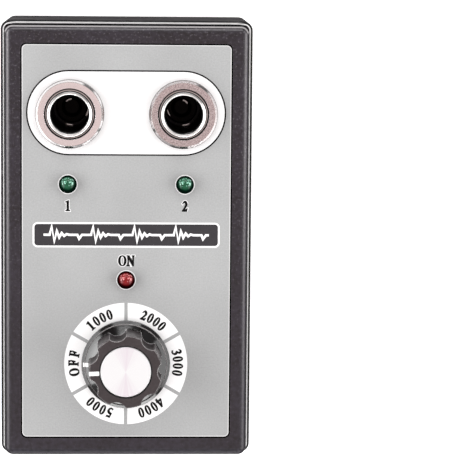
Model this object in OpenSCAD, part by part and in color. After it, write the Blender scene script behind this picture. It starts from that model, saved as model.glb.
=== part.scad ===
// Twin-socket spark plug tester: a two-part case, plug sockets, lamps, speed control and drive board.
// Sizes are in millimetres. +Z leaves the panel, +Y points at the sockets, and the back rests on Z = 0.

/* [Case] */
// Width of the rear shell
case_w = 71; // [69:0.5:80]
// Length of the rear shell
case_l = 123.5; // [121:0.5:134]
// Height from the back to the bezel
case_h = 48; // [48:0.5:56]
// Depth of the front shell below the bezel
front_depth = 9; // [8:0.5:13]
// Wall of both shells
wall = 2.4; // [2:0.1:2.8]
// Rim of the rear shell that shows beyond the front shell's ends
ledge = 0.8; // [0.5:0.1:1.2]
// Rim of the rear shell that shows along the front shell's sides
side_ledge = 1.2; // [0.6:0.1:1.3]
// Corner radius of the rear shell
corner_r = 2.5; // [2.4:0.1:4]
// Corner radius of the front shell
front_r = 2.5; // [2.4:0.1:4]
// Radius of the bezel's outer edge
bezel_r = 2.2; // [1.2:0.1:2.3]
// Radius of the edge around the back
back_r = 2; // [1:0.1:2.3]
// Height of the shadow groove along the seam
seam_groove = 0.5; // [0.3:0.1:0.8]
// Depth that the front shell's lip reaches into the rear shell
lip_depth = 2.2; // [1.5:0.1:3]

/* [Panel] */
// Width of the label
label_w = 58.4; // [56:0.1:60]
// Length of the label
label_l = 110.9; // [108:0.1:112]
// Corner radius of the label
label_r = 1.3; // [0.8:0.1:2]
// Gap around the label
label_gap = 0.4; // [0.2:0.05:0.45]
// Thickness of the label
label_t = 0.4; // [0.3:0.05:0.6]
// Depth of the recess that holds the label
recess_d = 0.5; // [0.5:0.05:0.8]
// Panel thickness under the label
face_t = 2.5; // [2:0.1:3]

/* [Case screws] */
// Distance from the case edge to a screw
screw_inset = 6.4; // [6.2:0.1:6.8]
// Shank diameter
screw_d = 2.9; // [2.5:0.1:3.2]
// Head diameter
screw_head_d = 5.6; // [5:0.1:6]
// Head height
screw_head_h = 2; // [1.6:0.1:2.4]
// Depth of the head's seat below the back
screw_seat = 3.8; // [3:0.1:4.5]
// Height of the rear bosses
boss_h = 12; // [10:0.5:16]

/* [Plug sockets] */
// Distance between the socket centres
socket_pitch = 31.7; // [30:0.1:34]
// Sockets from the middle of the case
socket_y = 36.2; // [34:0.1:38]
// Thread diameter of the bush
bush_d = 13.9; // [13.5:0.1:14.4]
// Bore of the insulating sleeve
sleeve_bore = 10.6; // [10.2:0.1:10.8]
// Sleeve wall inside the bush
sleeve_neck_wall = 0.65; // [0.5:0.05:0.7]
// Outer diameter of the sleeve below the bush
sleeve_d = 15; // [14.5:0.1:16]
// Diameter of the dress nut
nut_d = 19.2; // [18:0.1:20]
// Height of the dress nut
nut_h = 2.4; // [1.8:0.1:3]
// Rise of the bush lip above the nut
lip_rise = 0.7; // [0.4:0.1:1.2]
// Depth of the rounded lip over the sleeve
lip_t = 1.6; // [1.5:0.1:2]
// Width of the rounded lip
mouth_w = 0.95; // [0.6:0.05:1]
// Depth of the groove between the lip and the nut
mouth_groove = 0.4; // [0.3:0.05:0.4]
// Thickness of the bush flange
flange_t = 2; // [1.5:0.1:2.5]
// Thickness of the ground tag
tag_t = 0.5; // [0.4:0.1:0.8]

/* [Socket contacts] */
// Lip to plunger distance
contact_depth = 30.6; // [29:0.1:31]
// Plunger travel
contact_travel = 3.5; // [2:0.1:3.6]
// Bore of the plunger chamber
chamber_d = 9.2; // [8.8:0.1:9.8]
// Plunger thickness
plunger_t = 1.8; // [1.4:0.1:2.2]
// Spring wire diameter
wire_d = 0.8; // [0.6:0.05:0.8]
// Spring coil mean diameter
coil_d = 6.8; // [6.4:0.1:7]
// Number of spring turns
coil_turns = 5.5; // [4:0.5:5.5]
// Thickness of the contact terminal
terminal_t = 0.6; // [0.4:0.1:0.8]
// High-voltage lead diameter
hv_lead_d = 2.4; // [2:0.1:2.6]

/* [Lamps] */
// Diameter of a lamp
led_d = 5; // [4.6:0.1:5.2]
// Height of a lamp above its flange
led_h = 7.6; // [7:0.1:8.2]
// Rise of a lamp above the label
led_rise = 3; // [2.6:0.1:3.4]
// Distance between the signal lamps
signal_pitch = 32.8; // [31.8:0.1:34]
// Signal lamps from the middle of the case
signal_y = 16.4; // [15:0.1:18]
// Power lamp from the middle of the case
power_y = -10.6; // [-12:0.1:-9]
// Distance between a lamp's leads
led_lead_pitch = 2.54; // [2.2:0.02:2.6]

/* [Speed control] */
// Control from the middle of the case
knob_y = -34.5; // [-36:0.5:-33]
// Diameter of the knob skirt
knob_d = 25; // [24:0.1:27]
// Diameter of the knob's grip at its top
grip_d = 20.4; // [19.6:0.1:21]
// Knob height
knob_h = 13; // [11.8:0.1:14]
// Width of the bevelled rim of the skirt
rim_w = 0.9; // [0.6:0.1:1]
// Gap between the label and the knob
knob_gap = 0.8; // [0.6:0.1:1.2]
// Number of flutes
flutes = 7; // [6:1:8]
// Flute radius
flute_r = 3.2; // [2.6:0.1:3.4]
// Flute depth at the top
flute_d = 1.4; // [1:0.1:1.5]
// Aluminium cap diameter
cap_d = 14.1; // [12.5:0.1:14.2]
// Aluminium cap thickness
cap_t = 1; // [0.8:0.1:1.2]
// Width of the white pointer
pointer_w = 1.1; // [0.8:0.1:1.6]
// Thickness of the white pointer
pointer_t = 0.3; // [0.2:0.05:0.4]
// Shaft diameter
shaft_d = 6; // [5.6:0.1:6.2]
// Bushing thread diameter
bushing_d = 7; // [7:0.1:7.6]
// Control can diameter
can_d = 17; // [16.4:0.1:17.6]
// Control can depth
can_h = 12; // [11.5:0.1:12.5]
// Switch housing depth
switch_h = 7; // [6:0.1:8]

/* [Board] */
// Board thickness
board_t = 1.6; // [1.2:0.1:1.8]
// Height of the board posts
post_h = 3.6; // [3.4:0.1:4]
// Ignition coil width
coil_w = 34; // [31:0.5:36]
// Ignition coil height
coil_h = 19.4; // [16:0.1:20]
// Power inlet from the middle of the case
inlet_x = 14; // [13:0.5:16]
// Bore of the power inlet
inlet_bore = 6.3; // [5.8:0.1:6.5]
// Centre pin of the power inlet
inlet_pin_d = 2.1; // [1.8:0.1:2.5]

/* [Hidden] */
$fn = 48;
cut = 0.5;

// Clearances
seat_gap = 0.15;
play = 0.05;
running_gap = 0.05;
free_gap = 0.4;

// Case levels and outlines
front_w = case_w - 2 * side_ledge;
front_l = case_l - 2 * ledge;
seam_z = case_h - front_depth;
floor_z = wall;
inside_w = case_w - 2 * wall;
inside_l = case_l - 2 * wall;
inside_r = max(corner_r - wall, 1);
recess_z = case_h - recess_d;
recess_w = label_w + 2 * label_gap;
recess_l = label_l + 2 * label_gap;
label_z = recess_z + label_t;
inner_z = recess_z - face_t;
lip_w = 1.2;

// Case screws
screw_x = case_w / 2 - screw_inset;
screw_y = case_l / 2 - screw_inset;
boss_r = screw_inset - wall + free_gap;
stem_r = boss_r - 0.8;
screw_grip = 12;
screw_end = boss_h + screw_grip;

// Socket levels
socket_x = socket_pitch / 2;
bush_r = bush_d / 2;
flange_r = nut_d / 2 - 0.6;
flange_z = inner_z - tag_t - flange_t;
nut_top = label_z + nut_h;
lip_z = nut_top + lip_rise;
sleeve_bore_r = sleeve_bore / 2;
neck_r = sleeve_bore_r + sleeve_neck_wall;
sleeve_r = sleeve_d / 2;
sleeve_top = lip_z - lip_t;

// Contact levels
chamber_r = chamber_d / 2;
plunger_r = chamber_r - free_gap;
plunger_z = lip_z - contact_depth;
plunger_under = plunger_z - plunger_t;
chamber_top = plunger_z + 1.6;
spring_l = contact_travel + (coil_turns + 1) * wire_d + 0.9;
terminal_top = plunger_under - spring_l;
terminal_z = terminal_top - terminal_t;
tab_w = 2.8;
tab_x = 3.5;
tab_reach = 4;
tab_end = socket_y - sleeve_r - tab_reach;
hv_lead_r = hv_lead_d / 2;
hv_x = socket_x - tab_x;
hv_z = terminal_top + hv_lead_r;

// Lamps
led_r = led_d / 2;
led_top = label_z + led_rise;
led_seat = led_top - led_h;
led_flange_t = 1;
led_flange_r = led_r + 0.4;
led_foot = led_seat - led_flange_t;
collar_r = led_flange_r + 1.3;
led_spots = [[-signal_pitch / 2, signal_y], [signal_pitch / 2, signal_y], [0, power_y]];
led_lead_r = 0.3;

// Speed control levels
knob_z = label_z + knob_gap;
knob_top = knob_z + knob_h;
knob_r = knob_d / 2;
grip_r = grip_d / 2;
rim_z = 0.6;
rim_step = 0.15;
skirt_pitch = 0.65;
foot_r = grip_r + 0.3;
foot_z = rim_z + 0.7 * rim_w - rim_step + (knob_r - rim_w - rim_step - foot_r) * skirt_pitch;
top_edge = 0.2;
shaft_r = shaft_d / 2;
bushing_r = bushing_d / 2;
washer_t = 0.5;
washer_r = 6;
washer_top = label_z + washer_t;
pot_nut_t = 2;
pot_nut_r = 5.6;
pot_nut_top = washer_top + pot_nut_t;
bushing_top = pot_nut_top + 1;
nut_room_z = bushing_top + 0.8;
nut_room_r = 7;
cap_r = cap_d / 2;
cap_z = knob_top - cap_t;
shaft_top = cap_z - 0.9;
can_r = can_d / 2;
can_wall = 0.8;
can_front_t = 1.2;
can_z = inner_z - can_h;
wafer_z = can_z + 1;
wafer_t = 1.2;
wafer_reach = 3.6;
wafer_y = knob_y - can_r - wafer_reach;
shaft_foot = wafer_z + wafer_t + 0.4;
wiper_z = wafer_z + wafer_t + 0.3;
rotor_z = wiper_z + 1;
rotor_t = 1.5;
switch_z = can_z - switch_h;
tongue_w = 14;
lug_pitch = 5;
switch_lug_x = 3;
switch_lug_h = 3;
lug_t = 0.5;
lug_w = 1.6;
lug_seat = 2;
lug_reach = 2.6;
lug_end = wafer_y - lug_reach;
pot_lead_r = 0.6;
pot_lead_y = lug_end + 1;

// Board
board_z = floor_z + post_h;
board_top = board_z + board_t;
board_gap = 0.6;
board_half = inside_w / 2 - board_gap;
board_y0 = -inside_l / 2 + board_gap;
board_over = 4.2;
board_y1 = signal_y + board_over;
notch_half = screw_x - boss_r - board_gap;
notch_end = boss_r + board_gap - screw_y;
post_r = 3;
post_x = board_half - post_r - 1;
post_below = 5;
post_above = 8.4;
post_y0 = knob_y - post_below;
post_y1 = signal_y - post_above;
post_spots = [[-post_x, post_y1], [post_x, post_y1], [-post_x, post_y0], [post_x, post_y0]];
board_screw_r = 1.1;
board_head_r = 2.1;
lead_room = 3.3;
coil_y0 = power_y + lead_room;
coil_y1 = signal_y - lead_room;
tower_r = hv_lead_r + 0.8;
tower_y = signal_y - 1;
tower_root = 2;
slot_half = tower_r + 0.2;
tail_w = 3;
ground_x = signal_pitch / 2 + collar_r + free_gap + tail_w / 2;
ground_y = signal_y + 2;
ground_lead_r = 0.6;
inlet_w = 9;
inlet_h = 11;
inlet_len = 13.4;
inlet_z = board_top + inlet_h / 2;
inlet_r = inlet_bore / 2;
inlet_nose_r = inlet_r + 0.85;
inlet_back = -inside_l / 2 + 0.3;
inlet_depth = 10;

// Rings on the floor that centre the sleeves, each with a slot for the terminal's tab
ring_r = sleeve_r + seat_gap + 1.4;
ring_h = 2.5;
tab_slot_w = tab_w + 2 * free_gap;

// Parts on the board: each inset is from the edge between the notches, each offset from the control's axis
sink_inset = 3;
sink_offset = 13;
driver_inset = 6;
chip_inset = 14;
chip_offset = 12;
inlet_capacitor_inset = 7;
inlet_capacitor_offset = 14;
chip_capacitor_inset = 6;
chip_capacitor_offset = 3;
sink_w = 16;
sink_h = 14;
sink_t = 2;
fin_l = 6;
fins = 4;
pin_pitch = 2.54;
pin_w = 0.8;
pin_t = 0.6;
driver_w = 10;
driver_h = 9;
driver_t = 4.4;
driver_lift = 3;
chip_w = 6.4;
chip_l = 9.4;
chip_t = 3.3;
chip_lift = 0.6;
capacitor_r = 4;
capacitor_h = 12;
capacitor_groove_z = 1.6;
capacitor_spots = [
    [inlet_capacitor_inset - notch_half, knob_y - inlet_capacitor_offset],
    [notch_half - chip_capacitor_inset, knob_y + chip_capacitor_offset]
];
resistor_r = 1.2;
resistor_l = 6.3;
resistor_pitch = 5;

// Least clear distance between the spring's own turns
function coil_point(i, steps, z0, z1) = [
    coil_d / 2 * cos(360 * coil_turns * i / steps),
    coil_d / 2 * sin(360 * coil_turns * i / steps),
    z0 + (z1 - z0) * i / steps
];
coil_steps = coil_turns * 12;
coil_z0 = terminal_top + wire_d / 2 + play;
coil_z1 = plunger_under - wire_d / 2 - play;
coil_line = [for (i = [0:coil_steps]) coil_point(i, coil_steps, coil_z0, coil_z1)];
coil_spans = [
    for (i = [0:coil_steps - 8]) for (j = [i + 8:coil_steps])
        norm(coil_line[i] - coil_line[j])
];
coil_gap = min(coil_spans) - wire_d;
echo(spring_gap = coil_gap);

module rounded_rect(w, l, r) {
    square([w - 2 * r, l], center = true);
    square([w, l - 2 * r], center = true);
    for (x = [-1, 1], y = [-1, 1])
        translate([x * (w / 2 - r), y * (l / 2 - r)])
            circle(r);
}

// Half section of a block whose top edge is rounded, for a straight side
module edge_section(half, h, f) {
    translate([-half, 0])
        square([2 * half, h - f]);
    translate([f - half, 0])
        square([2 * (half - f), h]);
    for (s = [-1, 1])
        translate([s * (half - f), h - f])
            circle(f);
}

// Section of the same edge for a corner, from the corner's axis outwards
module corner_section(r, h, f) {
    square([r, h - f]);
    square([r - f, h]);
    intersection() {
        translate([r - f, h - f])
            circle(f);
        square([r, h]);
    }
}

// Block with rounded corners and a rounded top edge
module soft_block(w, l, h, r, f) {
    rotate([90, 0, 0])
        linear_extrude(l - 2 * r, center = true)
            edge_section(w / 2, h, f);
    rotate([90, 0, 90])
        linear_extrude(w - 2 * r, center = true)
            edge_section(l / 2, h, f);
    for (x = [-1, 1], y = [-1, 1])
        translate([x * (w / 2 - r), y * (l / 2 - r), 0])
            rotate_extrude()
                corner_section(r, h, f);
}

module plain_block(w, l, h, r) {
    linear_extrude(h)
        rounded_rect(w, l, r);
}

module at_screws() {
    for (x = [-screw_x, screw_x], y = [-screw_y, screw_y])
        translate([x, y, 0])
            children();
}

module at_leds() {
    for (p = led_spots)
        translate([p[0], p[1], 0])
            children();
}

module at_sockets() {
    for (x = [-socket_x, socket_x])
        translate([x, socket_y, 0])
            children();
}

module ring(r_out, r_in, h) {
    difference() {
        cylinder(h = h, r = r_out);
        translate([0, 0, -cut])
            cylinder(h = h + 2 * cut, r = r_in);
    }
}

// Rear tub: rounded back, screw bosses, board posts and a slotted ring for each sleeve
module rear_shell() {
    mid_z = seam_z / 2;
    color([0.25, 0.24, 0.26])
    difference() {
        union() {
            difference() {
                union() {
                    translate([0, 0, mid_z])
                        mirror([0, 0, 1])
                            soft_block(case_w, case_l, mid_z, corner_r, back_r);
                    translate([0, 0, mid_z])
                        soft_block(case_w, case_l, mid_z, corner_r, ledge / 2);
                }
                translate([0, 0, floor_z])
                    plain_block(inside_w, inside_l, case_h, inside_r);
            }
            at_screws()
                translate([0, 0, floor_z / 2])
                    cylinder(h = boss_h - floor_z / 2, r = boss_r);
            for (p = post_spots)
                translate([p[0], p[1], floor_z / 2])
                    cylinder(h = board_z - floor_z / 2, r = post_r);
            at_sockets()
                translate([0, 0, floor_z / 2])
                    ring(ring_r, sleeve_r + seat_gap, floor_z / 2 + ring_h);
        }
        for (s = [-1, 1])
            translate([s * hv_x - tab_slot_w / 2, socket_y - ring_r - cut, floor_z])
                cube([tab_slot_w, ring_r, ring_h + cut]);
        at_screws() {
            translate([0, 0, -cut])
                cylinder(h = screw_seat + cut, r = screw_head_d / 2 + 0.4);
            cylinder(h = boss_h + cut, r = screw_d / 2 + seat_gap);
        }
        for (p = post_spots)
            translate([p[0], p[1], floor_z])
                cylinder(h = post_h + cut, r = board_screw_r + play);
        translate([inlet_x, -case_l / 2 - cut, inlet_z])
            rotate([-90, 0, 0])
                cylinder(h = wall + 2 * cut, r = inlet_nose_r + seat_gap);
    }
}

// Front frame: bezel, label recess, inner lip, screw stems and lamp collars
module front_shell() {
    color([0.27, 0.26, 0.28])
    difference() {
        union() {
            difference() {
                translate([0, 0, seam_z])
                    soft_block(front_w, front_l, front_depth, front_r, bezel_r);
                translate([0, 0, seam_z - cut])
                    plain_block(front_w - 2 * wall, front_l - 2 * wall, inner_z - seam_z + cut, 1);
                translate([0, 0, recess_z])
                    plain_block(recess_w, recess_l, case_h, label_r + label_gap);
                translate([0, 0, seam_z - cut])
                    difference() {
                        plain_block(front_w + 2, front_l + 2, cut + seam_groove, front_r);
                        translate([0, 0, -cut])
                            plain_block(front_w - ledge, front_l - ledge, 3 * cut + seam_groove, front_r);
                    }
            }
            translate([0, 0, seam_z - lip_depth])
                difference() {
                    plain_block(inside_w - 2 * seat_gap, inside_l - 2 * seat_gap, lip_depth + 1, inside_r);
                    translate([0, 0, -cut])
                        plain_block(
                            inside_w - 2 * seat_gap - 2 * lip_w,
                            inside_l - 2 * seat_gap - 2 * lip_w,
                            lip_depth + 1 + 2 * cut,
                            1
                        );
                }
            at_screws()
                translate([0, 0, boss_h])
                    cylinder(h = inner_z - boss_h + cut, r = stem_r);
            at_leds()
                translate([0, 0, led_seat])
                    cylinder(h = inner_z - led_seat + cut, r = collar_r);
        }
        at_sockets()
            translate([0, 0, inner_z - cut])
                cylinder(h = face_t + recess_d + 2 * cut, r = bush_r + seat_gap);
        at_leds()
            translate([0, 0, led_seat - cut])
                cylinder(h = case_h - led_seat + 2 * cut, r = led_r + play);
        translate([0, knob_y, inner_z - cut])
            cylinder(h = face_t + recess_d + 2 * cut, r = bushing_r + seat_gap);
        at_screws()
            translate([0, 0, boss_h - cut])
                cylinder(h = screw_end - boss_h + 2 + cut, r = screw_d / 2 + play);
    }
}

module panel_label() {
    color([0.76, 0.76, 0.76])
    difference() {
        translate([0, 0, recess_z])
            plain_block(label_w, label_l, label_t, label_r);
        at_sockets()
            translate([0, 0, recess_z - cut])
                cylinder(h = label_t + 2 * cut, r = bush_r + 0.4);
        at_leds()
            translate([0, 0, recess_z - cut])
                cylinder(h = label_t + 2 * cut, r = led_r + play);
        translate([0, knob_y, recess_z - cut])
            cylinder(h = label_t + 2 * cut, r = bushing_r + 0.4);
    }
}

module case_screws() {
    slot_w = 0.8;
    color([0.55, 0.55, 0.57])
    at_screws()
        difference() {
            union() {
                translate([0, 0, screw_seat - screw_head_h])
                    cylinder(h = screw_head_h, r = screw_head_d / 2);
                translate([0, 0, screw_seat - cut])
                    cylinder(h = screw_end - screw_seat + cut, r = screw_d / 2);
            }
            for (a = [0, 90])
                rotate([0, 0, a])
                    translate([-slot_w / 2, -screw_d / 2, screw_seat - screw_head_h - cut])
                        cube([slot_w, screw_d, 1 + cut]);
        }
}

// Threaded bush: flange under the panel, and a narrow rounded lip inside a groove at the mouth
module socket_bush() {
    lip_r = sleeve_bore_r + 0.1;
    round_r = mouth_w / 2;
    groove_z = nut_top - mouth_groove;
    lead_in = 0.25;
    color([0.85, 0.82, 0.82])
    difference() {
        rotate_extrude() {
            polygon([
                [lip_r, flange_z],
                [flange_r, flange_z],
                [flange_r, flange_z + flange_t],
                [bush_r, flange_z + flange_t],
                [bush_r, groove_z - lead_in],
                [bush_r - lead_in, groove_z],
                [lip_r + mouth_w, groove_z],
                [lip_r + mouth_w, lip_z - round_r],
                [lip_r, lip_z - round_r]
            ]);
            translate([lip_r + round_r, lip_z - round_r])
                circle(round_r);
        }
        translate([0, 0, flange_z - cut])
            cylinder(h = sleeve_top - flange_z + cut, r = neck_r + play);
    }
}

// Round nut with a bevelled rim and a softened mouth
module socket_nut() {
    bore = bush_r + play;
    rim = nut_d / 2;
    bevel = 0.7;
    lead_in = 0.2;
    color([0.86, 0.81, 0.81])
    translate([0, 0, label_z])
        rotate_extrude()
            polygon([
                [bore, 0],
                [rim, 0],
                [rim, nut_h - bevel],
                [rim - bevel, nut_h],
                [bore + lead_in, nut_h],
                [bore, nut_h - lead_in]
            ]);
}

// Ring under the panel with a tail that carries the ground lead
module ground_tag(side) {
    tail_x = side * (ground_x - socket_x);
    color([0.8, 0.75, 0.55])
    translate([0, 0, inner_z - tag_t])
        difference() {
            union() {
                cylinder(h = tag_t, r = flange_r);
                translate([tail_x - tail_w / 2, ground_y - socket_y - tail_w / 2, 0])
                    cube([tail_w, socket_y - ground_y, tag_t]);
            }
            translate([0, 0, -cut])
                cylinder(h = tag_t + 2 * cut, r = bush_r + seat_gap);
        }
}

// Stepped insulating tube: plug bore above, plunger chamber below, solid foot on the floor
module plug_sleeve(side) {
    color([0.06, 0.06, 0.06])
    difference() {
        union() {
            translate([0, 0, floor_z])
                cylinder(h = flange_z - floor_z, r = sleeve_r);
            translate([0, 0, floor_z])
                cylinder(h = sleeve_top - floor_z, r = neck_r);
        }
        translate([0, 0, chamber_top])
            cylinder(h = lip_z - chamber_top, r = sleeve_bore_r);
        translate([0, 0, terminal_z])
            cylinder(h = lip_z - terminal_z, r = chamber_r);
        translate([-side * tab_x - tab_w / 2 - seat_gap, -sleeve_r - cut, terminal_z])
            cube([tab_w + 2 * seat_gap, sleeve_r + cut, terminal_t + seat_gap]);
    }
}

// Dished button with a spigot that centres the spring
module contact_plunger() {
    spigot_r = coil_d / 2 - wire_d / 2 - free_gap;
    color([0.8, 0.63, 0.3])
    difference() {
        union() {
            translate([0, 0, plunger_under])
                cylinder(h = plunger_t, r = plunger_r);
            translate([0, 0, plunger_under - 1.6])
                cylinder(h = 1.6 + cut, r = spigot_r);
        }
        translate([0, 0, plunger_z - 0.8])
            cylinder(h = 0.8 + cut, r1 = spigot_r - 0.6, r2 = plunger_r - 0.6);
    }
}

// One unbroken tube wound from the terminal up to the plunger
module contact_spring() {
    sides = 6;
    pitch = (coil_z1 - coil_z0) / coil_turns;
    lean = atan(pitch / (PI * coil_d));
    rings = [
        for (i = [0:coil_steps]) for (k = [0:sides - 1])
            let (
                a = 360 * coil_turns * i / coil_steps,
                u = wire_d / 2 * cos(360 * k / sides),
                v = wire_d / 2 * sin(360 * k / sides)
            )
            [
                (coil_d / 2 + u) * cos(a) + v * sin(lean) * sin(a),
                (coil_d / 2 + u) * sin(a) - v * sin(lean) * cos(a),
                coil_line[i][2] + v * cos(lean)
            ]
    ];
    skin = [
        for (i = [0:coil_steps - 1]) for (k = [0:sides - 1])
            let (n = (k + 1) % sides)
            [i * sides + k, (i + 1) * sides + k, (i + 1) * sides + n, i * sides + n]
    ];
    first = [for (k = [0:sides - 1]) k];
    last = [for (k = [0:sides - 1]) coil_steps * sides + sides - 1 - k];
    color([0.7, 0.7, 0.72])
    polyhedron(rings, concat(skin, [first], [last]));
}

// Disc under the spring with a tab that leaves through the sleeve
module hv_terminal(side) {
    color([0.8, 0.63, 0.3])
    translate([0, 0, terminal_z]) {
        cylinder(h = terminal_t, r = chamber_r - seat_gap);
        translate([-side * tab_x - tab_w / 2, tab_end - socket_y, 0])
            cube([tab_w, socket_y - tab_end, terminal_t]);
    }
}

// Straight lead from the coil tower to the terminal's tab
module hv_lead(side) {
    lead_end = socket_y - sleeve_r - 0.8;
    color([0.6, 0.1, 0.08])
    translate([side * hv_x, coil_y1, hv_z])
        rotate([-90, 0, 0])
            cylinder(h = lead_end - coil_y1, r = hv_lead_r);
}

// Domed lamp on a flange
module led() {
    translate([0, 0, led_seat])
        cylinder(h = led_h - led_r, r = led_r);
    translate([0, 0, led_top - led_r])
        sphere(led_r);
    translate([0, 0, led_foot])
        cylinder(h = led_flange_t, r = led_flange_r);
}

module led_leads() {
    color([0.75, 0.75, 0.76])
    at_leds()
        for (s = [-1, 1])
            translate([s * led_lead_pitch / 2, 0, board_top])
                cylinder(h = led_foot - board_top, r = led_lead_r);
}

// Turned outline of the knob, from its axis outwards, shifted inwards by an inset
module knob_outline(inset) {
    polygon([
        [0, 0],
        [knob_r - inset, 0],
        [knob_r - inset, rim_z - inset],
        [knob_r - rim_w - inset, rim_z + 0.7 * rim_w - inset],
        [knob_r - rim_w - rim_step - inset, rim_z + 0.7 * rim_w - rim_step - inset],
        [foot_r - inset, foot_z - inset],
        [grip_r + 0.1 - inset, foot_z + 0.3 - inset],
        [grip_r - inset, knob_h - top_edge - inset],
        [grip_r - top_edge - inset, knob_h - inset],
        [0, knob_h - inset]
    ]);
}

// White inlay in two parts, a bar on the top face and a dash on the skirt
module pointer_inlay() {
    bar_start = cap_r + 0.3;
    bar_turn = 3;
    dash_end = knob_r - 0.5;
    difference() {
        intersection() {
            rotate_extrude()
                knob_outline(0);
            union() {
                rotate([0, 0, bar_turn])
                    translate([-knob_r, -pointer_w / 2, knob_h - top_edge])
                        cube([knob_r - bar_start, pointer_w, top_edge + cut]);
                translate([-dash_end, -pointer_w / 2, rim_z])
                    cube([dash_end - foot_r, pointer_w, foot_z]);
            }
        }
        rotate_extrude()
            knob_outline(pointer_t);
    }
}

// Cutter for one flute, which stops on the skirt's slope carried on inwards
module flute() {
    cone_h = 4;
    difference() {
        translate([grip_r + flute_r - flute_d, 0, foot_z])
            cylinder(h = knob_h, r = flute_r);
        translate([0, 0, foot_z])
            cylinder(h = cone_h, r1 = foot_r, r2 = foot_r - cone_h / skirt_pitch);
    }
}

// Skirted grip with flutes, hollow under the skirt to clear the fixing nut
module knob_body() {
    flat_x = shaft_r * 0.5;
    color([0.1, 0.1, 0.1])
    translate([0, knob_y, knob_z])
    difference() {
        rotate_extrude()
            knob_outline(0);
        for (i = [0:flutes - 1])
            rotate([0, 0, 360 * i / flutes])
                flute();
        translate([0, 0, -cut])
            cylinder(h = nut_room_z - knob_z + cut, r = nut_room_r);
        difference() {
            cylinder(h = shaft_top - knob_z + seat_gap, r = shaft_r + play);
            translate([flat_x + play, -shaft_r, nut_room_z - knob_z])
                cube([shaft_r, 2 * shaft_r, knob_h]);
        }
        translate([0, 0, cap_z - knob_z])
            cylinder(h = cap_t + cut, r = cap_r + 0.3);
        pointer_inlay();
    }
}

module knob_cap() {
    bevel = 0.25;
    color([0.9, 0.9, 0.9])
    translate([0, knob_y, cap_z])
        rotate_extrude()
            polygon([[0, 0], [cap_r, 0], [cap_r, cap_t - bevel], [cap_r - bevel, cap_t], [0, cap_t]]);
}

module knob_pointer() {
    color([0.97, 0.97, 0.97])
    translate([0, knob_y, knob_z])
        pointer_inlay();
}

// Shaft with a flat at its knob end
module pot_shaft() {
    color([0.75, 0.75, 0.76])
    translate([0, knob_y, 0])
    difference() {
        translate([0, 0, shaft_foot])
            cylinder(h = shaft_top - shaft_foot, r = shaft_r);
        translate([shaft_r * 0.5, -shaft_r, nut_room_z])
            cube([shaft_r, 2 * shaft_r, knob_h]);
    }
}

// Carrier on the shaft with the wiper arm that sweeps the wafer
module pot_rotor() {
    carrier_r = can_r - can_wall - 1.2;
    color([0.85, 0.83, 0.76])
    translate([0, knob_y, 0]) {
        translate([0, 0, rotor_z])
            ring(carrier_r, shaft_r + play, rotor_t);
        translate([-carrier_r + 0.6, -1, wiper_z])
            cube([2, 2, rotor_z - wiper_z + cut]);
    }
}

module pot_bushing() {
    flange = 0.8;
    under = inner_z - can_front_t;
    color([0.78, 0.77, 0.72])
    translate([0, knob_y, 0])
    difference() {
        union() {
            translate([0, 0, under])
                cylinder(h = bushing_top - under, r = bushing_r);
            translate([0, 0, under - flange])
                cylinder(h = flange, r = bushing_r + 1.5);
        }
        translate([0, 0, under - flange - cut])
            cylinder(h = bushing_top - under + flange + 2 * cut, r = shaft_r + running_gap);
    }
}

module pot_nut() {
    color([0.8, 0.8, 0.8])
    translate([0, knob_y, washer_top])
    difference() {
        cylinder(h = pot_nut_t, r = pot_nut_r, $fn = 6);
        translate([0, 0, -cut])
            cylinder(h = pot_nut_t + 2 * cut, r = bushing_r + play);
    }
}

module pot_washer() {
    color([0.7, 0.7, 0.7])
    translate([0, knob_y, label_z])
        ring(washer_r, bushing_r + seat_gap, washer_t);
}

// Drawn can with a slot for the wafer's tongue
module pot_can() {
    color([0.7, 0.7, 0.7])
    translate([0, knob_y, 0])
    difference() {
        translate([0, 0, can_z])
            cylinder(h = can_h, r = can_r);
        translate([0, 0, can_z + can_wall])
            cylinder(h = can_h - can_wall - can_front_t, r = can_r - can_wall);
        translate([0, 0, inner_z - can_front_t - cut])
            cylinder(h = can_front_t + 2 * cut, r = bushing_r + play);
        translate([-tongue_w / 2 - seat_gap, -can_r - cut, wafer_z - seat_gap])
            cube([tongue_w + 2 * seat_gap, can_r, wafer_t + 2 * seat_gap]);
    }
}

module pot_wafer() {
    color([0.55, 0.35, 0.18])
    translate([0, 0, wafer_z]) {
        translate([0, knob_y, 0])
            cylinder(h = wafer_t, r = can_r - can_wall - seat_gap);
        translate([-tongue_w / 2, wafer_y, 0])
            cube([tongue_w, knob_y - wafer_y, wafer_t]);
    }
}

module pot_lugs() {
    color([0.8, 0.78, 0.7])
    for (i = [-1:1])
        translate([i * lug_pitch - lug_w / 2, lug_end, wafer_z - lug_t])
            cube([lug_w, wafer_y + lug_seat - lug_end, lug_t]);
}

// Switch behind the can, with two lugs at its back
module pot_switch() {
    color([0.2, 0.2, 0.21])
    translate([0, knob_y, 0]) {
        translate([0, 0, switch_z])
            cylinder(h = switch_h, r = can_r);
        for (s = [-1, 1])
            translate([s * switch_lug_x - lug_w / 2, -switch_lug_x, switch_z - switch_lug_h])
                cube([lug_w, lug_t, switch_lug_h + cut]);
    }
}

module pot_leads() {
    lead_h = wafer_z - lug_t - board_top;
    color([0.7, 0.12, 0.1])
    for (i = [-1:1])
        translate([i * lug_pitch, pot_lead_y, board_top])
            cylinder(h = lead_h, r = pot_lead_r);
    color([0.1, 0.1, 0.1])
    for (s = [-1, 1])
        translate([s * switch_lug_x, knob_y - switch_lug_x + lug_t / 2, board_top])
            cylinder(h = switch_z - switch_lug_h - board_top, r = pot_lead_r);
}

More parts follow.
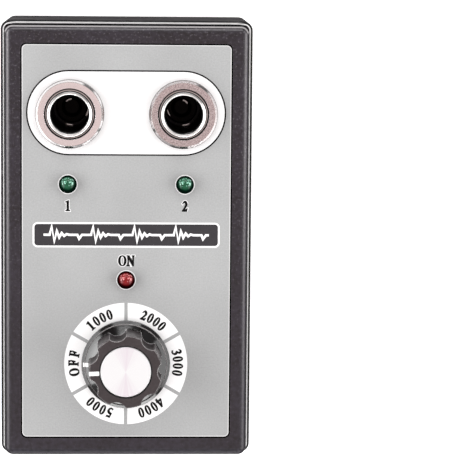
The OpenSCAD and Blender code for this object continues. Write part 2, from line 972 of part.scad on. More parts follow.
// Board with corner notches for the bosses and an isolating slot under each high-voltage lead
module main_board() {
    slot_y = coil_y1 - tower_root - free_gap;
    hole_h = board_t + 2 * cut;
    color([0.1, 0.4, 0.2])
    difference() {
        translate([-board_half, board_y0, board_z])
            cube([2 * board_half, board_y1 - board_y0, board_t]);
        for (p = post_spots)
            translate([p[0], p[1], board_z - cut])
                cylinder(h = hole_h, r = board_screw_r + 0.3);
        for (x = [-board_half - cut, notch_half])
            translate([x, board_y0 - cut, board_z - cut])
                cube([board_half - notch_half + cut, notch_end - board_y0 + cut, hole_h]);
        for (s = [-1, 1])
            translate([s * hv_x - slot_half, slot_y, board_z - cut])
                cube([2 * slot_half, board_y1 - slot_y + cut, hole_h]);
    }
}

module board_screws() {
    head_h = 1.6;
    slot_w = 0.6;
    color([0.75, 0.75, 0.76])
    for (p = post_spots)
        translate([p[0], p[1], 0])
            difference() {
                union() {
                    translate([0, 0, floor_z + 0.6])
                        cylinder(h = board_top - floor_z, r = board_screw_r);
                    translate([0, 0, board_top])
                        cylinder(h = head_h, r = board_head_r);
                }
                for (a = [0, 90])
                    rotate([0, 0, a])
                        translate([-slot_w / 2, -1.2, board_top + head_h - 0.7])
                            cube([slot_w, 2.4, 1]);
            }
}

// Potted block with a tower for each high-voltage lead
module ignition_coil() {
    depth = coil_y1 - coil_y0;
    color([0.08, 0.08, 0.09])
    difference() {
        union() {
            translate([0, (coil_y0 + coil_y1) / 2, board_top])
                plain_block(coil_w, depth, coil_h, 1.5);
            for (s = [-1, 1])
                translate([s * hv_x, coil_y1 - tower_root, hv_z])
                    rotate([-90, 0, 0])
                        cylinder(h = tower_y - coil_y1 + tower_root, r = tower_r);
            for (s = [-1, 1])
                translate([s * hv_x - tower_r, coil_y1 - tower_root, min(hv_z, board_top)])
                    cube([2 * tower_r, tower_root, abs(hv_z - board_top) + tower_root]);
        }
        for (s = [-1, 1])
            translate([s * hv_x, coil_y1, hv_z])
                rotate([-90, 0, 0])
                    cylinder(h = tower_y - coil_y1 + cut, r = hv_lead_r + play);
    }
}

// Finned plate that stands on the board
module heat_sink() {
    color([0.75, 0.76, 0.78])
    translate([sink_inset - notch_half, knob_y + sink_offset, board_top]) {
        cube([sink_w, sink_t, sink_h]);
        for (i = [0:fins - 1])
            translate([i * (sink_w - sink_t) / (fins - 1), sink_t - cut, 0])
                cube([sink_t, fin_l + cut, sink_h]);
    }
}

module driver_transistor() {
    color([0.07, 0.07, 0.07])
    translate([driver_inset - notch_half, knob_y + sink_offset - driver_t, board_top]) {
        translate([0, 0, driver_lift])
            cube([driver_w, driver_t, driver_h]);
        for (i = [-1:1])
            translate([driver_w / 2 + i * pin_pitch - pin_w / 2, 1.6, 0])
                cube([pin_w, pin_t, driver_lift + cut]);
    }
}

module timer_chip() {
    color([0.07, 0.07, 0.07])
    translate([notch_half - chip_inset, knob_y + chip_offset, board_top])
    difference() {
        union() {
            translate([0, 0, chip_lift])
                cube([chip_w, chip_l, chip_t]);
            for (i = [0:3], x = [0, chip_w])
                translate([x - pin_w / 2, (chip_l - 3 * pin_pitch - pin_t) / 2 + i * pin_pitch, 0])
                    cube([pin_w, pin_t, chip_lift + chip_t / 2]);
        }
        translate([chip_w / 2, chip_l, chip_lift + chip_t - 0.7])
            cylinder(h = chip_t, r = 0.8);
    }
}

module filter_capacitors() {
    color([0.1, 0.1, 0.25])
    for (p = capacitor_spots)
        translate([p[0], p[1], board_top])
            difference() {
                cylinder(h = capacitor_h, r = capacitor_r);
                translate([0, 0, capacitor_groove_z])
                    ring(capacitor_r + cut, capacitor_r - 0.3, 0.7);
            }
}

module resistors() {
    lift = resistor_r + 0.6;
    color([0.75, 0.62, 0.42])
    for (i = [0:2])
        translate([coil_w / 2 + 2, power_y + 2 + i * resistor_pitch, board_top]) {
            translate([0, 0, lift])
                rotate([0, 90, 0])
                    cylinder(h = resistor_l, r = resistor_r);
            for (x = [-0.5, resistor_l + 0.5]) {
                translate([x, 0, 0])
                    cylinder(h = lift + led_lead_r, r = led_lead_r);
                translate([x - 0.6, -led_lead_r, lift - led_lead_r])
                    cube([1.2, 2 * led_lead_r, 2 * led_lead_r]);
            }
        }
}

// Inlet on the board whose round nose fills the hole in the end wall
module dc_inlet() {
    color([0.07, 0.07, 0.07])
    translate([inlet_x, 0, inlet_z])
    difference() {
        union() {
            translate([-inlet_w / 2, inlet_back, -inlet_h / 2])
                cube([inlet_w, inlet_len, inlet_h]);
            translate([0, -case_l / 2, 0])
                rotate([-90, 0, 0])
                    cylinder(h = inlet_back + case_l / 2 + cut, r = inlet_nose_r);
        }
        translate([0, -case_l / 2 - cut, 0])
            rotate([-90, 0, 0])
                cylinder(h = inlet_depth + cut, r = inlet_r);
        translate([0, -case_l / 2, 0])
            rotate([-90, 0, 0])
                cylinder(h = inlet_depth + 2, r = inlet_pin_d / 2 + play);
    }
}

module dc_inlet_pin() {
    color([0.8, 0.78, 0.7])
    translate([inlet_x, -case_l / 2 + 1, inlet_z])
        rotate([-90, 0, 0])
            cylinder(h = inlet_depth + 1, r = inlet_pin_d / 2);
}

module ground_leads() {
    color([0.08, 0.08, 0.08])
    for (s = [-1, 1])
        translate([s * ground_x, ground_y, board_top])
            cylinder(h = inner_z - tag_t - board_top, r = ground_lead_r);
}

module left() {
    translate([-socket_x, socket_y, 0])
        children();
}

module right() {
    translate([socket_x, socket_y, 0])
        children();
}

module signal_led(side) {
    color([0.05, 0.35, 0.2])
    translate([side * signal_pitch / 2, signal_y, 0])
        led();
}

module power_led() {
    color([0.6, 0.08, 0.08])
    translate([0, power_y, 0])
        led();
}

rear_shell();
front_shell();
panel_label();
case_screws();
left() socket_bush();  // socket_bush_left
right() socket_bush();  // socket_bush_right
left() socket_nut();  // socket_nut_left
right() socket_nut();  // socket_nut_right
left() ground_tag(-1);  // ground_tag_left
right() ground_tag(1);  // ground_tag_right
left() plug_sleeve(-1);  // plug_sleeve_left
right() plug_sleeve(1);  // plug_sleeve_right
left() contact_plunger();  // contact_plunger_left
right() contact_plunger();  // contact_plunger_right
left() contact_spring();  // contact_spring_left
right() contact_spring();  // contact_spring_right
left() hv_terminal(-1);  // hv_terminal_left
right() hv_terminal(1);  // hv_terminal_right
hv_lead(-1);  // hv_lead_left
hv_lead(1);  // hv_lead_right
signal_led(-1);  // signal_led_left
signal_led(1);  // signal_led_right
power_led();
led_leads();
knob_body();
knob_cap();
knob_pointer();
pot_shaft();
pot_rotor();
pot_bushing();
pot_nut();
pot_washer();
pot_can();
pot_wafer();
pot_lugs();
pot_switch();
pot_leads();
main_board();
board_screws();
ignition_coil();
driver_transistor();
heat_sink();
timer_chip();
filter_capacitors();
resistors();
dc_inlet();
dc_inlet_pin();
ground_leads();
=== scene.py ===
"""Looks of a twin-socket spark plug tester: finishes, panel prints, contact springs, studio and camera."""
import math

import bmesh
import bpy
from mathutils import Matrix, Vector


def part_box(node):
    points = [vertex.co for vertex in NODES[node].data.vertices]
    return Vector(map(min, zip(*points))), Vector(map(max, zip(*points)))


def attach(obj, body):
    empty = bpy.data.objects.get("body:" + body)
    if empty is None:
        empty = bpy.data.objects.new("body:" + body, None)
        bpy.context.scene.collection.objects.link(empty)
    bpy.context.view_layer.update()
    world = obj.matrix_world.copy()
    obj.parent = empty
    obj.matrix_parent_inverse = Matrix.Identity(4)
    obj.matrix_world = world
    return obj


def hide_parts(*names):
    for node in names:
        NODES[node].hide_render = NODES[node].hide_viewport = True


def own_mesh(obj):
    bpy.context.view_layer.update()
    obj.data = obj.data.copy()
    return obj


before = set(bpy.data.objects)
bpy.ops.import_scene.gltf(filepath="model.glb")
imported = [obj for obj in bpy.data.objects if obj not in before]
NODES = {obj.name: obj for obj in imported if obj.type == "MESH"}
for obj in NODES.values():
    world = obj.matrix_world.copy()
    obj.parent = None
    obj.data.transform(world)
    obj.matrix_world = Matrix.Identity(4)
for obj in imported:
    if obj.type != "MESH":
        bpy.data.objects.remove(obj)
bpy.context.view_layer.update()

MM = 0.001
SIDES = ("left", "right")


def middle(node):
    low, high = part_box(node)
    return (low + high) / 2


# Places that come from the frame, in metres
LABEL_LOW, LABEL_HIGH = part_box("panel_label")
PANEL_Z = LABEL_HIGH.z
CASE_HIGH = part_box("rear_shell")[1]
SEAM_Z = CASE_HIGH.z
KNOB_AXIS = middle("knob_cap")
KNOB_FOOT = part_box("knob_body")[0].z - KNOB_AXIS.z
CAP_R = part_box("knob_cap")[1].x - KNOB_AXIS.x
SOCKETS = {side: middle("socket_nut_" + side) for side in SIDES}
LAMPS = {name: middle(name) for name in ("signal_led_left", "signal_led_right", "power_led")}

# Sizes of the CAD part in mm
LABEL_W = (LABEL_HIGH.x - LABEL_LOW.x) / MM
LABEL_L = (LABEL_HIGH.y - LABEL_LOW.y) / MM
NUT_R = (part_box("socket_nut_left")[1].x - SOCKETS["left"].x) / MM
CASE_CORNER_R = 2.5
LABEL_CORNER_R = 1.3
LAMP_R = 2.5


# Shader nodes

def new_shader(name):
    """Empty material with a shader, and its node tree."""
    material = bpy.data.materials.new(name)
    material.use_nodes = True
    tree = material.node_tree
    tree.nodes.clear()
    out = tree.nodes.new("ShaderNodeOutputMaterial")
    shader = tree.nodes.new("ShaderNodeBsdfPrincipled")
    tree.links.new(shader.outputs["BSDF"], out.inputs["Surface"])
    return material, tree


def shader_of(material):
    return next(node for node in material.node_tree.nodes if node.type == "BSDF_PRINCIPLED")


def plug(tree, socket, value):
    """Sets a socket to a number, vector or colour, or links another socket to it."""
    if isinstance(value, tuple):
        socket.default_value = (*value, 1) if socket.type == "RGBA" else value
    elif isinstance(value, (int, float)):
        socket.default_value = value
    else:
        tree.links.new(value, socket)


def dress(material, inputs):
    """Fills the shader's own sockets."""
    shader = shader_of(material)
    for key, value in inputs.items():
        plug(material.node_tree, shader.inputs[key], value)
    return material


def add(tree, kind, inputs=(), **settings):
    """New node with its settings and inputs."""
    node = tree.nodes.new(kind)
    for key, value in settings.items():
        setattr(node, key, value)
    for key, value in dict(inputs).items():
        plug(tree, node.inputs[key], value)
    return node


def calc(tree, operation, *values):
    return add(tree, "ShaderNodeMath", dict(enumerate(values)), operation=operation).outputs[0]


def calc_vector(tree, operation, *values, output="Vector"):
    return add(tree, "ShaderNodeVectorMath", dict(enumerate(values)), operation=operation).outputs[output]


def product(tree, first, *others):
    for value in others:
        first = calc(tree, "MULTIPLY", first, value)
    return first


def split(tree, vector):
    return add(tree, "ShaderNodeSeparateXYZ", {0: vector}).outputs


def object_point(tree, centre=(0, 0, 0)):
    """Rest-frame position in metres, measured from a centre."""
    point = add(tree, "ShaderNodeTexCoord").outputs["Object"]
    if not any(centre):
        return point
    return calc_vector(tree, "SUBTRACT", point, tuple(centre))


def surface_normal(tree):
    return add(tree, "ShaderNodeNewGeometry").outputs["Normal"]


def noise(tree, point, scale, detail=3.0, rough=0.5, stretch=None):
    if stretch:
        point = calc_vector(tree, "MULTIPLY", point, stretch)
    inputs = {"Vector": point, "Scale": scale, "Detail": detail, "Roughness": rough}
    return add(tree, "ShaderNodeTexNoise", inputs).outputs["Fac"]


def ring_waves(tree, flat, **inputs):
    """Even rings about an upright axis."""
    settings = {"wave_type": "RINGS", "rings_direction": "Z"}
    return add(tree, "ShaderNodeTexWave", {"Vector": flat, **inputs}, **settings).outputs["Fac"]


def spread(tree, value, low, high, start=0.3, end=0.7):
    """Maps a value from start and end to low and high, clamped."""
    inputs = {"Value": value, "From Min": start, "From Max": end, "To Min": low, "To Max": high}
    return add(tree, "ShaderNodeMapRange", inputs).outputs["Result"]


def fade(tree, value, low, high, start_mm, end_mm, origin=0.0):
    """Spread over a distance: start and end are in mm from an origin in metres."""
    return spread(tree, value, low, high, origin + start_mm * MM, origin + end_mm * MM)


def band(tree, value, start, end, soft):
    """1 between two values, falling to 0 over a soft width at each."""
    up = spread(tree, value, 0.0, 1.0, start - soft / 2, start + soft / 2)
    down = spread(tree, value, 1.0, 0.0, end - soft / 2, end + soft / 2)
    return product(tree, up, down)


def stripe(tree, value, start_mm, end_mm, soft_mm):
    """Band of a distance, in mm."""
    return band(tree, value, start_mm * MM, end_mm * MM, soft_mm * MM)


def blend_value(tree, factor, first, second):
    """Mix of two values, each a number or a socket."""
    return add(tree, "ShaderNodeMix", {0: factor, 2: first, 3: second}, data_type="FLOAT").outputs[0]


def blend_colour(tree, factor, first, second):
    """Mix of two colours, each a tuple or a socket."""
    return add(tree, "ShaderNodeMix", {0: factor, 6: first, 7: second}, data_type="RGBA").outputs[2]


def relief(tree, height, depth_mm, normal=None):
    """Normal with a bump of a height map."""
    inputs = {"Height": height, "Strength": 1.0, "Distance": depth_mm * MM}
    if normal is not None:
        inputs["Normal"] = normal
    return add(tree, "ShaderNodeBump", inputs).outputs["Normal"]


def soft_normal(tree, radius_mm):
    """Normal that rounds sharp edges."""
    return add(tree, "ShaderNodeBevel", {"Radius": radius_mm * MM}, samples=6).outputs["Normal"]


def edge_mask(tree, soft):
    """1 on the edges that a soft normal rounds."""
    dot = calc_vector(tree, "DOT_PRODUCT", soft, surface_normal(tree), output="Value")
    return spread(tree, dot, 1.0, 0.0, start=0.85, end=0.995)


def from_outline(tree, point, corner, radius_mm):
    """Distance past the corner axes of a rounded outline; equals the radius on the outline."""
    bare = calc_vector(tree, "ABSOLUTE", point)
    past = calc_vector(tree, "SUBTRACT", bare, (corner.x - radius_mm * MM, corner.y - radius_mm * MM, 1))
    past = calc_vector(tree, "MAXIMUM", past, (0, 0, 0))
    return calc_vector(tree, "LENGTH", past, output="Value")


def from_axis(tree, point):
    """Flat position about an upright axis through the point's origin, and the distance from it."""
    flat = calc_vector(tree, "MULTIPLY", point, (1, 1, 0))
    return flat, calc_vector(tree, "LENGTH", flat, output="Value")


def angle_round(tree, point):
    parts = split(tree, point)
    return calc(tree, "ARCTAN2", parts["Y"], parts["X"])


ARC_SOFT = 0.12


def angle_band(tree, angle, start_deg, end_deg):
    return band(tree, angle, math.radians(start_deg), math.radians(end_deg), ARC_SOFT)


def arc_mask(tree, point, inner, outer, middle_deg, half_deg):
    """1 on an arc about an upright axis: inner and outer radius in mm, middle angle and half a width."""
    flat, radius = from_axis(tree, point)
    around = angle_band(tree, angle_round(tree, flat), middle_deg - half_deg, middle_deg + half_deg)
    return product(tree, stripe(tree, radius, inner, outer, 0.1), around)


def finish(name, dark, light, rough, grain=(2600, 0.01), patch=70, metal=0.0, edge=None, edge_mm=0.12,
           specular=0.5, stretch=None):
    """General finish: patches of tone, fine grain, uneven gloss and, with an edge colour, rubbed edges.

    Rough is a range of roughness, grain a noise scale with a depth in mm, and patch a noise scale.
    """
    material, tree = new_shader(name)
    point = object_point(tree)
    broad = noise(tree, point, patch, 4.0, 0.55)
    fine = noise(tree, point, grain[0], 2.0, 0.6, stretch)
    tone = blend_value(tree, broad, broad, fine)
    colour = blend_colour(tree, spread(tree, tone, 0.0, 1.0, start=0.32, end=0.68), dark, light)
    soft = soft_normal(tree, edge_mm)
    if edge:
        wear_and_highlight = product(tree, edge_mask(tree, soft), spread(tree, noise(tree, point, 420), 0.35, 1.0))
        colour = blend_colour(tree, wear_and_highlight, colour, edge)
    return dress(material, {
        "Base Color": colour,
        "Roughness": spread(tree, tone, *rough),
        "Normal": relief(tree, fine, grain[1], soft),
        "Metallic": metal,
        "Specular IOR Level": specular,
    })


def paint(material, *names):
    for name in names:
        mesh = NODES[name].data
        mesh.materials.clear()
        mesh.materials.append(material)


# Case finishes: distances in mm, Z from the seam or, in the recess, from the label's face.
# A stripe is start, end and softness of a distance, and a band is the same of a normal's upward part.

CASE_DARK = (0.012, 0.0108, 0.0118)
CASE_LIGHT = (0.034, 0.031, 0.033)
# CASE_SHADE is a painted shade tone, used under the seam and on the bezel's steep edges
CASE_SHADE = (0.004, 0.0036, 0.004)
TUB_SHADE_Z = (-8, -2)
RIM_FOOT_Z = (-0.45, -0.38)
# The parting rim is painted: a highlight stripe with painted shade on both sides of it
RIM_SIDE_HIGHLIGHT = (CASE_CORNER_R - 0.94, CASE_CORNER_R - 0.6, 0.06)
RIM_END_HIGHLIGHT = (CASE_CORNER_R - 0.78, CASE_CORNER_R - 0.31, 0.06)
RIM_TURN_X = (-4.6, -2.4)
RIM_SHADE = (0.002, 0.002, 0.002)
RIM_HIGHLIGHT = (0.9, 0.89, 0.89)


def rear_plastic():
    """Grained plastic with painted shade under the seam at the socket end; its parting rim is painted as a
    highlight between two bands of painted shade.
    """
    material, tree = new_shader("case_plastic")
    point = object_point(tree)
    parts = split(tree, point)
    endward = split(tree, surface_normal(tree))["Y"]
    grain = noise(tree, point, 1400, detail=3.0, rough=0.65)
    colour = blend_colour(tree, spread(tree, grain, 0.0, 1.0), CASE_DARK, CASE_LIGHT)
    # Painted shade: the socket end's wall darkens towards the seam
    under_seam = fade(tree, parts["Z"], 0.0, 0.9, *TUB_SHADE_Z, SEAM_Z)
    shade = product(tree, under_seam, spread(tree, endward, 0.0, 1.0, start=0.5, end=0.9))
    colour = blend_colour(tree, shade, colour, CASE_SHADE)
    reach = from_outline(tree, point, CASE_HIGH, CASE_CORNER_R)
    straight = fade(tree, calc(tree, "ABSOLUTE", parts["X"]), 1.0, 0.0, *RIM_TURN_X, CASE_HIGH.x)
    # Painted highlight along the parting rim, set in painted shade
    side_highlight = stripe(tree, reach, *RIM_SIDE_HIGHLIGHT)
    end_highlight = stripe(tree, reach, *RIM_END_HIGHLIGHT)
    line = blend_value(tree, straight, side_highlight, end_highlight)
    line = product(tree, line, spread(tree, noise(tree, point, 300), 0.85, 1.0))
    rim = fade(tree, parts["Z"], 0.0, 1.0, *RIM_FOOT_Z, SEAM_Z)
    colour = blend_colour(tree, rim, colour, blend_colour(tree, line, RIM_SHADE, RIM_HIGHLIGHT))
    return dress(material, {
        "Base Color": colour,
        "Roughness": spread(tree, noise(tree, point, 60, detail=4.0), 0.5, 0.62),
        "Normal": relief(tree, grain, depth_mm=0.02, normal=soft_normal(tree, radius_mm=0.2)),
        "Specular IOR Level": spread(tree, endward, 0.25, 0.004, start=0.6, end=0.9),
    })


BEZEL_DARK = (0.0, 0.0, 0.001)
BEZEL_LIGHT = (0.015, 0.0125, 0.021)
BEZEL_SPECK = (0.064, 0.059, 0.068)
BEZEL_REFLECTION_LINE = (0.27, 0.258, 0.262)
BEZEL_TINT = (1.0, 0.94, 0.96)
WALL_SHADE = (0.003, 0.0026, 0.003)
WALL_SHADE_Z = (1, 5)
RECESS_SHADE = (0.0005, 0.0005, 0.0005)
RECESS_R = LABEL_CORNER_R + 0.4
RECESS_TOP_Z = (0.12, 0.2)
CASE_RUN_Y = (-50, 45)
STEEP_BAND = (0.13, 0.61, 0.14)
REFLECTION_LINE_BAND = (0.47, 0.72, 0.08)
SIDE_MATT_BAND = (0.5, 0.71, 0.08)
END_MATT_BAND = (0.7, 0.82, 0.06)
END_GLOSS_BAND = (0.84, 0.94, 0.04)


def bezel_shine(tree, along, facing, masks):
    """Gloss of the frame: satin face, matt steep edges and walls, bright streaks where the edges turn up."""
    steep, wall, far_end, recess = masks
    upward = facing["Z"]
    edge = spread(tree, calc(tree, "ABSOLUTE", facing["X"]), 0.0, 1.0, start=0.15, end=0.4)
    streak = product(tree, fade(tree, along, 0.62, 1.18, *CASE_RUN_Y),
                     spread(tree, facing["X"], 1.25, 1.0, start=-0.4, end=0.0))
    shine = product(tree, blend_value(tree, steep, 0.75, 0.04), blend_value(tree, edge, 0.87, streak))
    for place, turn, level in ((edge, SIDE_MATT_BAND, 0.06), (far_end, END_MATT_BAND, 0.15),
                               (far_end, END_GLOSS_BAND, 1.0)):
        shine = blend_value(tree, product(tree, place, band(tree, upward, *turn)), shine, level)
    shine = product(tree, shine, spread(tree, facing["Y"], 0.24, 1.0, start=-0.5, end=-0.15))
    shine = blend_value(tree, wall, shine, 0.2)
    dull = product(tree, far_end, spread(tree, upward, 1.0, 0.0, start=0.42, end=0.5))
    return product(tree, shine, calc(tree, "SUBTRACT", 1.0, calc(tree, "MAXIMUM", dull, recess)))


def bezel_plastic():
    """Leather-grained frame: matt walls and satin bezel, with painted shade on the steep edges, near the seam
    and in the label recess, and a painted reflection across the socket end.
    """
    material, tree = new_shader("bezel_plastic")
    point = object_point(tree)
    parts = split(tree, point)
    facing = split(tree, surface_normal(tree))
    grain = noise(tree, point, 900, detail=3.0, rough=0.7)
    tone = blend_value(tree, 0.3, grain, noise(tree, point, 60, detail=4.0))
    colour = blend_colour(tree, spread(tree, tone, 0.0, 1.0, start=0.36, end=0.64), BEZEL_DARK, BEZEL_LIGHT)
    specks = spread(tree, noise(tree, point, 1500, detail=2.0, rough=0.6), 0.0, 1.0, start=0.57, end=0.7)
    specks = product(tree, specks, fade(tree, parts["Y"], 0.2, 1.0, *CASE_RUN_Y))
    colour = blend_colour(tree, specks, colour, BEZEL_SPECK)
    wall = spread(tree, facing["Z"], 1.0, 0.0, start=0.05, end=0.12)
    colour = blend_colour(tree, wall, colour, blend_colour(tree, tone, CASE_DARK, CASE_LIGHT))
    # Painted shade on the steep part of the rounded edge
    steep = band(tree, facing["Z"], *STEEP_BAND)
    colour = blend_colour(tree, steep, colour, CASE_SHADE)
    # Painted shade: the walls darken towards the seam
    high_wall = product(tree, wall, fade(tree, parts["Z"], 0.0, 0.85, *WALL_SHADE_Z, SEAM_Z))
    colour = blend_colour(tree, high_wall, colour, WALL_SHADE)
    # Painted reflection: a pale stripe along the rounded edge at the socket end
    far_end = spread(tree, facing["Y"], 0.0, 1.0, start=0.08, end=0.25)
    line = product(tree, far_end, band(tree, facing["Z"], *REFLECTION_LINE_BAND))
    colour = blend_colour(tree, line, colour, BEZEL_REFLECTION_LINE)
    # Painted shade in the gap around the label
    inside = calc(tree, "LESS_THAN", from_outline(tree, point, LABEL_HIGH, LABEL_CORNER_R), RECESS_R * MM)
    recess = product(tree, inside, fade(tree, parts["Z"], 1.0, 0.0, *RECESS_TOP_Z, PANEL_Z))
    colour = blend_colour(tree, recess, colour, RECESS_SHADE)
    return dress(material, {
        "Base Color": colour,
        "Roughness": spread(tree, tone, 0.32, 0.42),
        "Normal": relief(tree, grain, depth_mm=0.042, normal=soft_normal(tree, radius_mm=0.15)),
        "Specular IOR Level": bezel_shine(tree, parts["Y"], facing, (steep, wall, far_end, recess)),
        "Specular Tint": BEZEL_TINT,
    })


FILM_SHADED = ((0.302, 0.307, 0.307), (0.405, 0.41, 0.41))
FILM_LIT = ((0.322, 0.327, 0.327), (0.429, 0.435, 0.435))
FILM_SHADE_Y = (-56, -8)


def label_film():
    """Silver-grey printed film with fine flake and a faint painted shade that darkens it towards the knob
    end.
    """
    material, tree = new_shader("label_film")
    point = object_point(tree)
    flake = noise(tree, point, 2400, detail=2.0, rough=0.7)
    cloud = noise(tree, point, 45, detail=3.0)
    tone = spread(tree, blend_value(tree, 0.35, flake, cloud), 0.0, 1.0)
    # Painted shade: lighter towards the sockets, darker towards the knob end
    upper = fade(tree, split(tree, point)["Y"], 0.0, 1.0, *FILM_SHADE_Y)
    return dress(material, {
        "Base Color": blend_colour(tree, upper, blend_colour(tree, tone, *FILM_SHADED),
                                   blend_colour(tree, tone, *FILM_LIT)),
        "Roughness": spread(tree, cloud, 0.4, 0.52),
        "Normal": relief(tree, flake, depth_mm=0.004),
        "Specular IOR Level": 0.35,
    })


# Socket finishes: an arc is inner and outer radius in mm, middle angle and half a width in degrees

# Painted glints deep in the bores, as arcs on the plunger and the sleeve's step
GLINT = (0.95, 0.93, 0.91)
GLINT_DISH = 19
PLUNGER_GLINTS = {"left": ((2.0, 2.4, 116, 24),), "right": ((1.9, 2.3, 54, 24), (3.95, 4.35, -156, 12))}
SLEEVE_GLINTS = {"left": ((4.6, 5.0, -19, 12), (4.95, 5.28, -98, 11)), "right": ((4.98, 5.3, -75, 11),)}


def add_glints(material, centre, arcs):
    """Painted glints: bright metal spots on the upward faces deep in a bore, dished to catch the light from
    its mouth.
    """
    tree = material.node_tree
    shader = shader_of(material)
    point = object_point(tree, centre)
    mask = arc_mask(tree, point, *arcs[0])
    for values in arcs[1:]:
        mask = calc(tree, "MAXIMUM", mask, arc_mask(tree, point, *values))
    upward = split(tree, surface_normal(tree))["Z"]
    mask = product(tree, mask, spread(tree, upward, 0.0, 1.0, start=0.4, end=0.6))
    flat = from_axis(tree, point)[0]
    dish = calc_vector(tree, "MULTIPLY_ADD", flat, (-GLINT_DISH, -GLINT_DISH, 0), (0, 0, 1))
    dish = calc_vector(tree, "NORMALIZE", dish)
    colour, normal = (shader.inputs[key].links[0].from_socket for key in ("Base Color", "Normal"))
    if shader.inputs["Metallic"].default_value < 1:
        tree.links.new(mask, shader.inputs["Metallic"])
    return dress(material, {
        "Base Color": blend_colour(tree, mask, colour, GLINT),
        "Normal": add(tree, "ShaderNodeMix", {0: mask, 4: normal, 5: dish}, data_type="VECTOR").outputs[1],
    })


def turned_metal(name, base, dark, rough, centre, ring_mm, grain=0.6, depth_mm=0.002, painted_shade_rings=(), painted_shade_arcs=(),
                 scuff=1500):
    """Metal turned about an upright axis: fine rings and grain, with painted shade in rings between radii and
    in arcs.

    Rough is a range of roughness, grain the share of scuffs in the tone and scuff their noise scale.
    A shade ring is inner and outer radius in mm and a tone, and a shade arc is an arc and a tone.
    """
    material, tree = new_shader(name)
    point = object_point(tree, centre)
    flat, radius = from_axis(tree, point)
    rings = ring_waves(tree, flat, Scale=0.3 / (ring_mm * MM), Distortion=0.6)
    tone = blend_value(tree, grain, rings, noise(tree, point, scuff, 4.0, 0.7))
    colour = blend_colour(tree, spread(tree, tone, 0.0, 1.0), dark, base)
    for inner, outer, shade in painted_shade_rings:
        mask = stripe(tree, radius, inner, outer, 0.08)
        colour = blend_colour(tree, mask, colour, (shade, shade * 0.93, shade * 0.9))
    for place, shade in painted_shade_arcs:
        mask = product(tree, arc_mask(tree, point, *place), spread(tree, tone, 0.6, 1.0))
        colour = blend_colour(tree, mask, colour, (shade, shade, shade))
    return dress(material, {
        "Base Color": colour,
        "Roughness": spread(tree, tone, *rough),
        "Normal": relief(tree, tone, depth_mm, soft_normal(tree, radius_mm=0.1)),
        "Metallic": 1.0,
    })


# Painted shade and dark reflections on the bush and nut: the groove by the lip, patches of the lip, the nut's
# bore edge, its edges and spots on its bevel
BUSH = {
    "base": (0.93, 0.92, 0.9), "dark": (0.84, 0.83, 0.81), "rough": (0.3, 0.38), "ring_mm": 0.35,
    "grain": 0.15, "depth_mm": 0.0006,
    "painted_shade_rings": ((6.24, 6.56, 0.02), (6.56, 6.84, 0.72), (6.84, 7.2, 0.02)),
    "painted_shade_arcs": (((5.95, 6.3, 95, 62), 0.26), ((5.3, 5.7, -88, 34), 0.42)),
}
NUT = {
    "rough": (0.1, 0.2), "ring_mm": 0.25, "grain": 0.8, "depth_mm": 0.004, "scuff": 2400,
    "painted_shade_rings": ((8.84, 8.98, 0.5), (9.46, 10.0, 0.25)),
    "painted_shade_arcs": (((6.9, 7.12, -75, 120), 0.05), ((6.9, 7.12, 160, 20), 0.05),
                ((8.95, 9.45, 54, 11), 0.02), ((9.2, 9.6, -98, 13), 0.03)),
}
NUT_FACE = {
    "left": {"base": (0.98, 0.95, 0.95), "dark": (0.86, 0.82, 0.82)},
    "right": {"base": (0.87, 0.81, 0.81), "dark": (0.36, 0.32, 0.325)},
}
# Painted shade: the plunger is nearly black so that the bottom of each bore stays dark
PLUNGER = {"base": (0.012, 0.011, 0.01), "dark": (0.006, 0.005, 0.005), "rough": (0.3, 0.45), "ring_mm": 0.3}
SLEEVE = {
    "dark": (0.003, 0.003, 0.003), "light": (0.006, 0.006, 0.006), "rough": (0.3, 0.45),
    "grain": (1800, 0.006), "patch": 150, "specular": 0.2,
}


def paint_socket(side):
    at = SOCKETS[side]
    paint(turned_metal("bush_chrome_" + side, centre=at, **BUSH), "socket_bush_" + side)
    paint(turned_metal("nut_chrome_" + side, centre=at, **NUT, **NUT_FACE[side]), "socket_nut_" + side)
    plunger = turned_metal("plunger_dark_" + side, centre=at, **PLUNGER)
    paint(add_glints(plunger, at, PLUNGER_GLINTS[side]), "contact_plunger_" + side)
    sleeve = finish("sleeve_black_" + side, **SLEEVE)
    paint(add_glints(sleeve, at, SLEEVE_GLINTS[side]), "plug_sleeve_" + side)


# Knob finishes: distances in mm from the knob's axis, skirt heights from its foot

GRIP_DARK = (0.02, 0.015, 0.016)
GRIP_LIGHT = (0.042, 0.033, 0.035)
GRIP_HIGHLIGHT = (0.85, 0.82, 0.82)
CAP_GAP_SHADE = (0.002, 0.002, 0.002)
SKIRT_BLACK = (0.006, 0.005, 0.005)
SKIRT_TOP_Z = (2.8, 3.0)
SEAT_EDGE = (0.3, 0.5)
HIGHLIGHT_START_R = (0.5, 0.8)
HIGHLIGHT_RUN_Y = (-9, -2)
POLISH_RUN_X = (-5, 8)
RIM_DULL_X = (1, 5)
RIM_DULL_R = (9.6, 12)
DULL_INNER_R = (11.2, 11.6)
DULL_ANGLES = ((103, 129), (64, 82))


def skirt_polish(tree, point, reach):
    """Gloss of the skirt: duller to the right and outward on the left, with two dull patches."""
    parts = split(tree, point)
    left = fade(tree, parts["X"], 1.0, 0.0, *RIM_DULL_X)
    polish = product(tree, fade(tree, parts["X"], 1.0, 0.34, *POLISH_RUN_X),
                     blend_value(tree, left, 1.0, fade(tree, reach, 1.0, 0.4, *RIM_DULL_R)))
    angle = angle_round(tree, point)
    inner = fade(tree, reach, 1.0, 0.0, *DULL_INNER_R)
    for start, end in DULL_ANGLES:
        dull = product(tree, inner, angle_band(tree, angle, start, end))
        polish = product(tree, polish, spread(tree, dull, 1.0, 0.2, start=0.0, end=1.0))
    return polish


